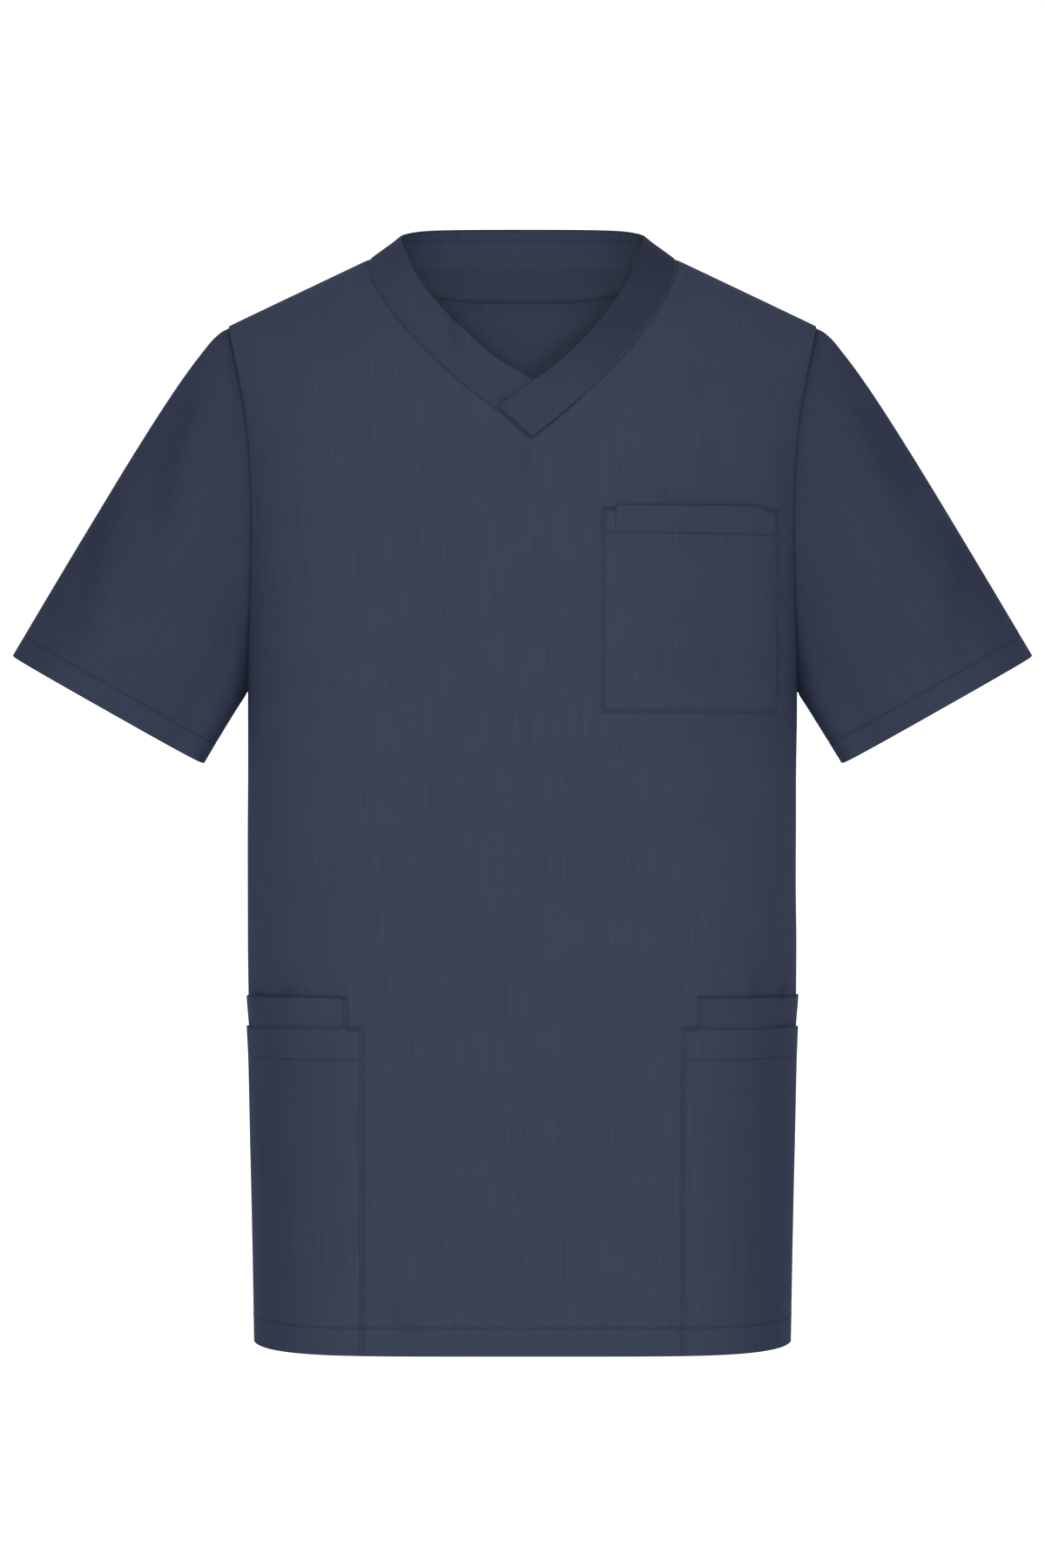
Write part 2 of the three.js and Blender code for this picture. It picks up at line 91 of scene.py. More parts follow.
def smooth(start: float, end: float, value: Array | float) -> Array:
    """A smooth step from 0 at start to 1 at end."""
    t = np.clip((np.asarray(value, float) - start) / (end - start), 0.0, 1.0)
    return t * t * (3.0 - 2.0 * t)


def lerp(a: Array | float, b: Array | float, t: Array | float) -> Array:
    """The value a share t of the way from a to b."""
    return a + (b - a) * t


def unit(vectors: Array) -> Array:
    """The vectors at length 1."""
    return vectors / np.maximum(np.linalg.norm(vectors, axis=-1, keepdims=True), 1e-12)


def bump(distance: Array | float, width: float) -> Array:
    """A soft hump of height 1 at distance 0."""
    return np.exp(-((np.asarray(distance, float) / width) ** 2))


def power(value: Array, exponent: float) -> Array:
    """A power of a number's size, with the number's sign."""
    return np.sign(value) * np.abs(value) ** exponent


def monotone(heights: Sequence[float], values: Sequence[float], z: Array) -> Array:
    """A smooth curve through values at rising heights, without overshoot.

    Args:
        heights: The heights of the table's rows, rising.
        values: The value at each of them.
        z: The heights to read it at.

    Returns:
        The value at each z.
    """
    h, v = np.asarray(heights, float), np.asarray(values, float)
    z = np.clip(z, h[0], h[-1])
    rise = np.diff(v) / np.diff(h)
    product = rise[:-1] * rise[1:]
    total = np.where(product > 0, rise[:-1] + rise[1:], 1.0)
    inner = np.where(product > 0, 2 * product / total, 0.0)
    slope = np.concatenate(([rise[0]], inner, [rise[-1]]))
    i = np.clip(np.searchsorted(h, z, side="left") - 1, 0, len(h) - 2)
    span = h[i + 1] - h[i]
    t = (z - h[i]) / span
    leaving = (t**3 - 2 * t**2 + t) * span * slope[i]
    arriving = (t**3 - t**2) * span * slope[i + 1]
    return lerp(v[i], v[i + 1], 3 * t**2 - 2 * t**3) + leaving + arriving


def stops(start: float, end: float, step: float, marks: Sequence[float] = ()) -> Array:
    """Places from start to end, a step apart and closer together round each mark and both ends.

    Args:
        start: The first place.
        end: The last place.
        step: The usual distance between two places.
        marks: Places that have close neighbours on both sides.

    Returns:
        The rising places.
    """
    close = np.array([0.35, 0.8, 1.4, 2.4])
    clearance, least = 0.6, 0.3
    found = list(np.linspace(start, end, max(2, round((end - start) / step) + 1)))
    for mark in marks:
        found = [f for f in found if abs(f - mark) > close[-1] + clearance]
        found += [mark, *(mark + close), *(mark - close)]
    found = [f for f in found if start + close[-1] < f < end - close[-1]]
    found += [start, *(start + close), *(end - close), end]
    found.sort()
    kept = [found[0]]
    for f in found[1:-1]:
        if f - kept[-1] > least and end - f > least:
            kept.append(f)
    return np.array([*kept, end])


def lengths(points: Array) -> Array:
    """How far along a row of points each one lies."""
    return np.concatenate(([0.0], np.cumsum(np.linalg.norm(np.diff(points, axis=0), axis=1))))


def read_along(run: Array, points: Array, places: Array | float) -> Array:
    """Points between the given ones, at places along their run.

    Args:
        run: How far along each given point lies.
        points: The given points, one a row.
        places: Where to read them, as one place or as many.

    Returns:
        The point or points.
    """
    return np.stack([np.interp(places, run, column) for column in points.T], axis=-1)


def spread(points: Array, pitch: float) -> Array:
    """The same line as points, at even distances of about the pitch.

    Args:
        points: The line's points.
        pitch: The wanted distance from one point to the next.

    Returns:
        The new points.
    """
    run = lengths(points)
    places = np.linspace(0.0, run[-1], max(2, round(run[-1] / pitch) + 1))
    return read_along(run, points, places)


# ------------------------------------------------------------------------------------- form


@dataclass(frozen=True)
class Half:
    """One half of the body: the side it faces, its depths at the form's levels and its rounding.

    The sections are rounded boxes: the greater box_x and box_y, the squarer their corners.
    """

    sign: int
    depths: tuple[float, ...]
    rounding: float
    box_x: float
    box_y: float = 2.0


FRONT = Half(-1, (129, 128.5, 128, 127, 126.5, 124.5, 121, 119, 108, 97, 92), 150, 5.5)
BACK = Half(1, (124, 122, 119, 117, 116.5, 116, 119, 120, 115, 102, 95), 120, 5.0)


@dataclass
class Grid:
    """Rows of points with their outward normals and their places on the flat cloth."""

    points: Array
    normals: Array
    place: Array

    def raised(self, lift: Array | float) -> Array:
        """The points moved out along their normals."""
        return self.points + self.normals * np.asarray(lift)[..., None]

    def flipped(self) -> Grid:
        """The same grid with its columns in the other order."""
        return Grid(self.points[:, ::-1], self.normals[:, ::-1], self.place[:, ::-1])


@dataclass(frozen=True)
class BodyForm:
    """The smooth form that the cloth lies on: rounded boxes that close over the shoulders."""

    levels: tuple[float, ...] = (-767.6, -700, -620, -545, -522, -440, -308, -220, -130, 0, 60)
    half_widths: tuple[float, ...] = (
        188.4, 189.6, 191.4, 193.2, 194.6, 195, 195.3, 195.3, 195.3, 195.3, 195.3)
    armhole_levels: tuple[float, ...] = (-308, -296, -274, -237, -187, -150, -113, -82, -47.4)
    armhole_reach: tuple[float, ...] = (195.3, 194.2, 193, 191.2, 190.3, 191.4, 195, 201, 209)
    armhole_half_depth: float = 57.0
    shoulder_slope: float = 0.474
    neck_slope: float = 0.52
    neck_half: float = 109.0
    ridge_power: float = 1.6
    tip: float = 0.01
    seam_shift: float = 0.1
    waist: int = 5
    box_steps: int = 12
    width_steps: int = 26

    @property
    def hem(self) -> float:
        """Height of the bottom edge."""
        return self.levels[0]

    @property
    def underarm(self) -> float:
        """Height of the underarm point."""
        return self.armhole_levels[0]

    @property
    def shoulder(self) -> float:
        """Height of the shoulder point."""
        return self.armhole_levels[-1]

    def armhole_x(self, z: Array) -> Array:
        """How far out the armhole seam lies at a height."""
        return monotone(self.armhole_levels, self.armhole_reach, z)

    def ridge(self, x: Array) -> Array:
        """Height of the shoulder line.

        Args:
            x: The places across the body.

        Returns:
            The height at each of them.
        """
        out = np.abs(x) / self.neck_half
        left = 1 - np.minimum(out, 1.0) ** self.ridge_power
        inside = self.neck_slope * self.neck_half * left / self.ridge_power
        return np.where(out > 1, -self.shoulder_slope * self.neck_half * (out - 1), inside)

    def angle(self, half: Half, x: Array, z: Array) -> Array:
        """How far round the shoulder a height lies, as an angle from the shoulder line."""
        below = (self.ridge(x) - z) / half.rounding
        return np.where(below < 1, np.arccos(1 - np.clip(below, 0, 1)), np.pi / 2 + below - 1)

    @staticmethod
    def share(angle: Array) -> Array:
        """Share of the full depth that is left near the shoulder line."""
        return np.where(np.abs(angle) < np.pi / 2, np.sin(angle), np.sign(angle))

    def half_width(self, half: Half, z: Array) -> Array:
        """Half width of the section, which runs through the armhole seam.

        Args:
            half: The front or the back.
            z: The heights.

        Returns:
            The half width at each of them.
        """
        height = np.clip(z, self.underarm, self.shoulder - self.tip)
        middle = (self.underarm + self.shoulder) / 2
        reach = (self.shoulder - self.underarm) / 2
        seam_y = self.armhole_half_depth * np.sqrt(1 - ((height - middle) / reach) ** 2)
        seam_x = self.armhole_x(height)
        depth = monotone(self.levels, half.depths, height)
        full = depth * self.share(self.angle(half, seam_x, height))
        above = seam_x / (1 - (seam_y / full) ** half.box_y) ** (1 / half.box_x)
        return np.where(z <= self.underarm, monotone(self.levels, self.half_widths, z), above)

    def section(self, half: Half, turn: Array) -> tuple[Array, Array]:
        """Points of the unit rounded box.

        Args:
            half: The front or the back.
            turn: How far round each point lies: 0 in the middle and 1 at the side.

        Returns:
            How far each point is across and how far it is out, as shares.
        """
        sin, cos = np.sin(turn * np.pi / 2), np.cos(turn * np.pi / 2)
        radius = np.ones_like(sin)
        for _ in range(self.box_steps):
            part_x = np.abs(radius * sin) ** half.box_x
            part_y = np.abs(radius * cos) ** half.box_y
            slope = half.box_x * part_x + half.box_y * part_y
            radius = radius - (part_x + part_y - 1) * radius / slope
        return radius * sin, radius * cos

    def turn_at(self, half: Half, x: Array, z: Array) -> Array:
        """The turn round the body of places on it.

        Args:
            half: The front or the back.
            x: The places across the body.
            z: Their heights.

        Returns:
            The turn of each place.
        """
        unit_x = np.minimum(1.0, np.abs(x) / self.half_width(half, z))
        unit_y = np.maximum(0.0, 1 - unit_x**half.box_x) ** (1 / half.box_y)
        return np.sign(x) * np.arctan2(unit_x, unit_y) * 2 / np.pi

    def surface(self, half: Half, turn: Array, angle: Array) -> Array:
        """Points of the outer surface.

        Args:
            half: The front or the back.
            turn: Their turns round the body.
            angle: Their angles from the shoulder line.

        Returns:
            The points.
        """
        unit_x, unit_y = self.section(half, turn)
        near = np.abs(angle) < np.pi / 2
        fall = np.where(near, 1 - np.cos(angle), np.abs(angle) - np.pi / 2 + 1)
        x = unit_x * self.neck_half
        for _ in range(self.width_steps):
            z = self.ridge(x) - half.rounding * fall
            x = unit_x * self.half_width(half, z)
        y = half.sign * monotone(self.levels, half.depths, z) * self.share(angle) * unit_y
        return np.stack([x, y, z], axis=-1)

    def spots(self, half: Half, turn: Array, angle: Array) -> tuple[Array, Array]:
        """Points of the surface and their outward normals.

        Args:
            half: The front or the back.
            turn: The points' turns round the body.
            angle: Their angles from the shoulder line.

        Returns:
            The points and the normals.
        """
        step = 1e-3
        across = self.surface(half, turn + step, angle) - self.surface(half, turn - step, angle)
        down = self.surface(half, turn, angle + step) - self.surface(half, turn, angle - step)
        points = self.surface(half, turn, angle)
        points[..., 1] += half.sign * self.seam_shift
        return points, unit(np.cross(across, down)) * half.sign

    def at_height(self, half: Half, turn: Array, z: Array) -> tuple[Array, Array]:
        """Spots at turns and heights."""
        x = self.section(half, turn)[0] * self.half_width(half, z)
        return self.spots(half, turn, self.angle(half, x, z))

    def at(self, half: Half, x: Array, z: Array) -> tuple[Array, Array]:
        """Spots at places across the body and heights."""
        return self.at_height(half, self.turn_at(half, x, z), z)

    def girth(self, half: Half, turn: Array) -> Array:
        """Signed way round the body from its middle, at waist height.

        Args:
            half: The front or the back.
            turn: The turns to go to.

        Returns:
            The way to each of them.
        """
        turns = np.linspace(0.0, 1.0, 241)
        x, y = self.section(half, turns)
        size = np.array([self.half_widths[self.waist], half.depths[self.waist]])
        run = lengths(np.stack([x, y], axis=1) * size)
        return np.sign(turn) * np.interp(np.abs(turn), turns, run)


FORM = BodyForm()


# ------------------------------------------------------------------------------------ folds


@dataclass(frozen=True)
class Fold:
    """A soft trough or ridge along a path of (across, height) places seen from one side."""

    view: View
    path: tuple[tuple[float, float], ...]
    width: float
    rise: float = 0.0
    dusk: float = 0.0
    ease: float = 0.4
    pitch: float = 4.0
    turned_away: float = 0.55

    def mask(self, points: Array, normals: Array) -> Array:
        """How much of the fold each point takes.

        Args:
            points: Points of the cloth, in any array shape that ends in 3.
            normals: Their outward normals.

        Returns:
            The share of the fold, from 0 to 1.
        """
        facing, across = self.view.value
        seen = points[..., [across, 2]]
        path = spread(np.array(self.path, float), self.pitch)
        run = lengths(path)
        best = np.full(seen.shape[:-1], np.inf)
        along = np.zeros(seen.shape[:-1])
        for a, b, s, e in zip(path[:-1], path[1:], run[:-1], run[1:]):
            way = b - a
            t = np.clip(((seen - a) @ way) / (way @ way), 0.0, 1.0)
            distance = np.linalg.norm(seen - a - t[..., None] * way, axis=-1)
            nearer = distance < best
            best = np.where(nearer, distance, best)
            along = np.where(nearer, lerp(s, e, t) / run[-1], along)
        fade = smooth(0, self.ease, along) * smooth(0, self.ease, 1 - along)
        turned = smooth(0.0, self.turned_away, normals @ np.array(facing))
        return bump(best, self.width) * fade * turned


@dataclass(frozen=True)
class Drape:
    """A set of folds, which neighbouring pieces can share."""

    folds: tuple[Fold, ...]
    most_dusk: float = 0.6

    def settle(self, points: Array, normals: Array) -> tuple[Array, Array]:
        """The folds' moves and their darkening, added up.

        Args:
            points: Points of the cloth.
            normals: Their outward normals.

        Returns:
            How far each point moves out, and its dusk.
        """
        lift, dusk = np.zeros(points.shape[:-1]), np.zeros(points.shape[:-1])
        for fold in self.folds:
            mask = fold.mask(points, normals)
            lift = lift + fold.rise * mask
            dusk = dusk + fold.dusk * mask
        return lift, np.clip(dusk, 0.0, self.most_dusk)


def drape(rows: dict[View, Sequence[tuple]]) -> Drape:
    """The drape of a table whose rows are a width, a rise, a dusk and the places of a path."""
    return Drape(tuple(Fold(view, tuple(path), width, rise, dusk)
                       for view, table in rows.items() for width, rise, dusk, *path in table))


DRAPE = drape({
    View.FRONT: (
        # Long, faint falls from the shoulders and the chest
        (26, 0.9, 0, (-120, -70), (-104, -180), (-98, -330)),
        (20, -0.8, 0, (-84, -160), (-72, -300), (-78, -470)),
        (30, 0.8, 0, (-30, -190), (-22, -380), (-34, -600)),
        (22, -0.7, 0, (24, -230), (30, -420), (20, -640)),
        (28, 0.9, 0, (88, -340), (80, -480), (88, -640)),
        (24, -0.8, 0, (140, -340), (128, -420), (136, -505)),
        (22, -0.8, 0, (-150, -300), (-134, -400), (-142, -500)),
        (18, 0.7, 0, (150, -60), (158, -120), (168, -200)),
        (16, -0.7, 0, (-150, -64), (-160, -140), (-168, -230)),
        # Tucks above the lower pockets
        (2.8, -1.5, 0.24, (189, -503), (186, -511), (182, -519), (178, -530)),
        (4.5, -1.2, 0.12, (165.5, -492), (165, -504), (163.5, -519), (163, -536)),
        (3.6, -1.3, 0.22, (-189, -502), (-187, -514), (-181, -536)),
        (4.5, -0.9, 0.10, (-163, -506), (-164, -514), (-161, -534)),
        (8.0, 1.0, 0, (172, -496), (169, -510), (166, -534)),
        (8.0, 0.9, 0, (-172, -498), (-171, -512), (-169, -534)),
        # Creases under the V
        (5, -0.7, 0.06, (3, -128), (0, -148), (-3, -176)),
        (6, 0.6, 0, (12, -130), (10, -146), (8, -170)),
        # Soft shade towards the sides and on the pockets
        (22, 0, 0.20, (182, -430), (184, -640), (186, -980)),
        (22, 0, 0.20, (-182, -430), (-184, -640), (-186, -980)),
        (36, 0, 0.07, (132, -70), (130, -250), (132, -430)),
        (26, 0, 0.07, (152, -380), (153, -640), (154, -1020)),
        (26, 0, 0.05, (-152, -380), (-153, -640), (-154, -1020)),
        # Slack of the sleeves, falling from the sleeve head towards the outer edge
        (10, -2.4, 0.16, (-224, -58), (-238, -110), (-250, -143), (-253, -182), (-254, -226)),
        (10, -2.4, 0.15, (-286, -138), (-297, -175), (-305, -228), (-310, -257), (-322, -296)),
        (13, 1.0, 0, (-222, -120), (-228, -176), (-238, -240)),
        (16, 0.9, 0, (-268, -228), (-276, -262), (-280, -310)),
        (12, -2.2, 0.12, (222, -54), (238, -104), (258, -143), (272, -169), (288, -212)),
        (10, -2.3, 0.13, (292, -172), (310, -216), (309, -240), (304, -262), (302, -296)),
        (13, 0.9, 0, (220, -112), (230, -176), (240, -236)),
        (16, 0.8, 0, (264, -226), (272, -262), (278, -312)),
        # Soft shade along the outer edge of the sleeves
        (30, 0, 0.10, (-200, 20), (-266, -118), (-303, -215), (-340, -330)),
        (30, 0, 0.11, (200, 20), (266, -118), (303, -215), (340, -330)),
        (15, 0, 0.12, (-312, -180), (-338, -282), (-368, -400)),
        (15, 0, 0.12, (312, -180), (338, -282), (368, -400)),
    ),
    View.BACK: (
        # A faint fall from each blade, the waist and the seat
        (24, 2.0, 0, (-96, -70), (-90, -200), (-80, -380)),
        (20, -2.0, 0, (-52, -140), (-48, -320), (-60, -520)),
        (22, 1.8, 0, (-6, -260), (4, -440), (-4, -660)),
        (18, -1.8, 0, (46, -180), (54, -360), (48, -560)),
        (24, 1.9, 0, (104, -80), (98, -220), (90, -400)),
        (17, -1.8, 0, (138, -330), (128, -460), (134, -620)),
        (18, -1.7, 0, (-134, -300), (-124, -440), (-132, -600)),
        (18, -1.1, 0, (150, -110), (162, -180), (176, -270)),
        (18, -1.1, 0, (-150, -116), (-160, -190), (-176, -276)),
        # Slack of the sleeves
        (15, -2.0, 0, (-228, -80), (-246, -130), (-256, -180), (-268, -216)),
        (14, -1.8, 0, (-284, -170), (-300, -214), (-308, -258)),
        (14, 1.0, 0, (-224, -130), (-236, -190), (-250, -250)),
        (15, -2.1, 0, (226, -82), (242, -134), (252, -186), (266, -222)),
        (14, -1.7, 0, (286, -176), (300, -220), (309, -262)),
        (14, 1.0, 0, (226, -126), (238, -186), (252, -246)),
    ),
    # Sides of the body, under the arms
    View.LEFT: (
        (16, -1.1, 0, (-12, -318), (-18, -400), (-10, -490)),
        (18, 0.9, 0, (26, -330), (30, -430), (22, -560)),
    ),
    View.RIGHT: (
        (16, -1.1, 0, (10, -320), (16, -410), (8, -500)),
        (18, 0.9, 0, (-28, -336), (-30, -440), (-24, -570)),
    ),
})


# ----------------------------------------------------------------------------------- meshes


def with_normals(points: Array, place: Array, closed: bool = False) -> Grid:
    """A grid whose normals come from its neighbours.

    Args:
        points: Rows of points, left to right seen from outside and rising.
        place: Their places on the flat cloth.
        closed: True if each row is a loop.

    Returns:
        The grid.
    """
    if closed:
        along = np.roll(points, -1, axis=1) - np.roll(points, 1, axis=1)
    else:
        along = np.gradient(points, axis=1, edge_order=2)
    up = np.gradient(points, axis=0, edge_order=2)
    return Grid(points, unit(np.cross(along, up)), place)


def inner_skin(lift: Array, hem: Array) -> Array:
    """The lift of a panel's inner skin, which follows troughs, and ridges up to 0.4 mm."""
    return np.minimum(lift, 0.4) - CLOTH - HEM_FOLD * hem


@dataclass
class SeamLines:
    """Stitch lines that sink into a piece, and how near each point is to one."""

    lines: list[Array]
    width: float = 0.8
    pitch: float = 0.6

    def near(self, points: Array) -> Array:
        """Nearness to the lines.

        Args:
            points: Points of the cloth, in any array shape that ends in 3.

        Returns:
            1 for a point on a line, fading to 0 with the width.
        """
        dense = np.concatenate([spread(line, self.pitch) for line in self.lines])
        tree = KDTree(len(dense))
        for i, p in enumerate(dense):
            tree.insert(p, i)
        tree.balance()
        far = np.array([tree.find(p)[2] for p in points.reshape(-1, 3)])
        return bump(far, self.width).reshape(points.shape[:-1])


@dataclass
class Paint:
    """What the finish reads on one skin of a wall: nearness to a stitch line, where shade is
    painted in its groove, and dusk.
    """

    seam: Array | float = 0.0
    dusk: Array | float = 0.0


class Dresser:
    """Makes the meshes of the top's pieces, rides them on the body and hides the parts they stand
    for.
    """

    rim = 0.3  # how far a rim bulges, as a share of the wall's thickness
    wrap_gap = 0.002  # flat cloth between a loop's last column and its first one again
    sharp = math.radians(38)

    def __init__(self, finishes: dict[str, bpy.types.Material]) -> None:
        """Keeps the finished materials by name."""
        self.finishes = finishes
        self.pieces: dict[str, bpy.types.Object] = {}

    def mesh(self, name: str, points: Array, faces: Sequence[Sequence[int]],
             finish: str) -> bpy.types.Object:
        """A smooth shaded object at the origin, from points in millimetres.

        Args:
            name: The piece's name.
            points: Its vertices.
            faces: Its faces, as vertex numbers.
            finish: The name of its material.

        Returns:
            The object.
        """
        data = bpy.data.meshes.new(name)
        data.from_pydata((points * METRE).tolist(), [], faces)
        data.shade_smooth()
        data.materials.append(self.finishes[finish])
        piece = bpy.data.objects.new(name, data)
        bpy.context.scene.collection.objects.link(piece)
        return piece

    def wall(self, name: str, grid: Grid, top: Array, bottom: Array, finish: str, outer: Paint,
             inner: Paint | None = None, closed: bool = False,
             inner_shade: float = 1.0) -> bpy.types.Object:
        """A cloth wall with rounded rims between two lifts of one grid.

        Args:
            name: The piece's name.
            grid: The grid it follows.
            top: How far its outer skin is lifted at each point.
            bottom: How far its inner skin is lifted.
            finish: The name of its material.
            outer: The paint of its outer skin and its rims.
            inner: The paint of its inner skin, or None for the outer one's dusk alone.
            closed: True if the grid's rows are loops.
            inner_shade: The value of the inside mask on the inner skin and the rims.

        Returns:
            The object.
        """
        shape = grid.points.shape[:2]
        skins = [grid.raised(np.broadcast_to(lift, shape)).reshape(-1, 3) for lift in (top, bottom)]
        index = np.arange(len(skins[0])).reshape(shape)
        wrapped = np.concatenate([index, index[:, :1]], axis=1) if closed else index
        a, b = wrapped[:-1, :-1].ravel(), wrapped[:-1, 1:].ravel()
        c, d = wrapped[1:, 1:].ravel(), wrapped[1:, :-1].ravel()
        quads = [np.stack([a, b, c, d], axis=1), np.stack([a, d, c, b], axis=1) + index.size]
        if closed:
            loops = [wrapped[0], wrapped[-1][::-1]]
        else:
            ring = np.concatenate(
                [index[0, :-1], index[:-1, -1], index[-1, :0:-1], index[:0:-1, 0]])
            loops = [np.append(ring, ring[0])]
        rims, rim_quads = self.rims(*skins, loops)
        points, faces = np.concatenate([*skins, *rims]), np.concatenate([*quads, *rim_quads])
        piece = self.mesh(f"{name}_cloth", points, faces.tolist(), finish)
        self.lay_flat(piece.data, grid, faces, loops, closed)
        inner = inner or Paint(0.0, outer.dusk)
        for label, near, behind in (("seam", outer.seam, inner.seam),
                                    ("dusk", outer.dusk, inner.dusk)):
            near, behind = (np.broadcast_to(values, shape).ravel() for values in (near, behind))
            on_rims = [near[loop[:-1]] for loop in loops]
            self.mask(piece.data, label, np.concatenate([near, behind, *on_rims]))
        # The inside mask paints shade on the inner skin and the rims.
        self.mask(piece.data, "inside", inner_shade * (np.arange(len(points)) >= index.size))
        piece.data.set_sharp_from_angle(angle=self.sharp)
        self.pieces[name] = piece
        return piece

    def rims(self, outer: Array, inner: Array,
             loops: list[Array]) -> tuple[list[Array], list[Array]]:
        """The rounded rims that join a wall's two skins.

        Args:
            outer: The points of the outer skin.
            inner: The points of the inner skin.
            loops: The vertex numbers round each edge, with the first one again at the end.

        Returns:
            The middle points of each rim, and the rims' faces.
        """
        points, faces = [], []
        count = len(outer)
        first = 2 * count
        for loop in loops:
            body, after = loop[:-1], loop[1:]
            along = np.roll(outer[body], -1, axis=0) - np.roll(outer[body], 1, axis=0)
            through = outer[body] - inner[body]
            away = unit(np.cross(unit(along), unit(through)))
            thick = np.linalg.norm(through, axis=1, keepdims=True)
            points.append((outer[body] + inner[body]) / 2 + away * thick * self.rim)
            mids = first + np.arange(len(body))
            next_mids = np.roll(mids, -1)
            faces.append(np.stack([body, mids, next_mids, after], axis=1))
            faces.append(np.stack([mids, body + count, after + count, next_mids], axis=1))
            first += len(body)
        return points, faces

    def lay_flat(self, data: bpy.types.Mesh, grid: Grid, faces: Array, loops: list[Array],
                 closed: bool) -> None:
        """Writes the places on the flat cloth into a wall's mesh.

        Args:
            data: The mesh.
            grid: The grid that it follows.
            faces: Its faces, as vertex numbers.
            loops: The vertex numbers round each edge.
            closed: True if the grid's rows are loops.
        """
        place = grid.place.reshape(-1, 2) * METRE
        uv = np.concatenate([place, place, *(place[loop[:-1]] for loop in loops)])[faces]
        if closed:
            size = np.ptp(place[:, 0])
            jump = np.ptp(uv[:, :, 0], axis=1) > size / 2
            low = uv[:, :, 0] < place[:, 0].mean()
            uv[:, :, 0] += np.where(jump[:, None] & low, size + self.wrap_gap, 0.0)
        data.uv_layers.new(name="cloth").data.foreach_set("uv", uv.ravel())

    @staticmethod
    def mask(data: bpy.types.Mesh, name: str, values: Array) -> None:
        """Writes one number for each vertex into a named attribute."""
        attribute = data.attributes.new(name, "FLOAT", "POINT")
        attribute.data.foreach_set("value", values.astype(np.float32))

    def settle(self, piece: bpy.types.Object, slot: Slot, *nodes: str) -> None:
        """Rides a piece on the body and hides the nodes it stands for.

        Args:
            piece: The piece.
            slot: The material slot that it belongs to. Not used.
            nodes: The names of the nodes it stands for, if any.
        """
        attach(piece, "root")
        if nodes:
            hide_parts(*nodes)
        LOG.info("%s: %d faces", piece.name, len(piece.data.polygons))


# ----------------------------------------------------------------------------------- panels


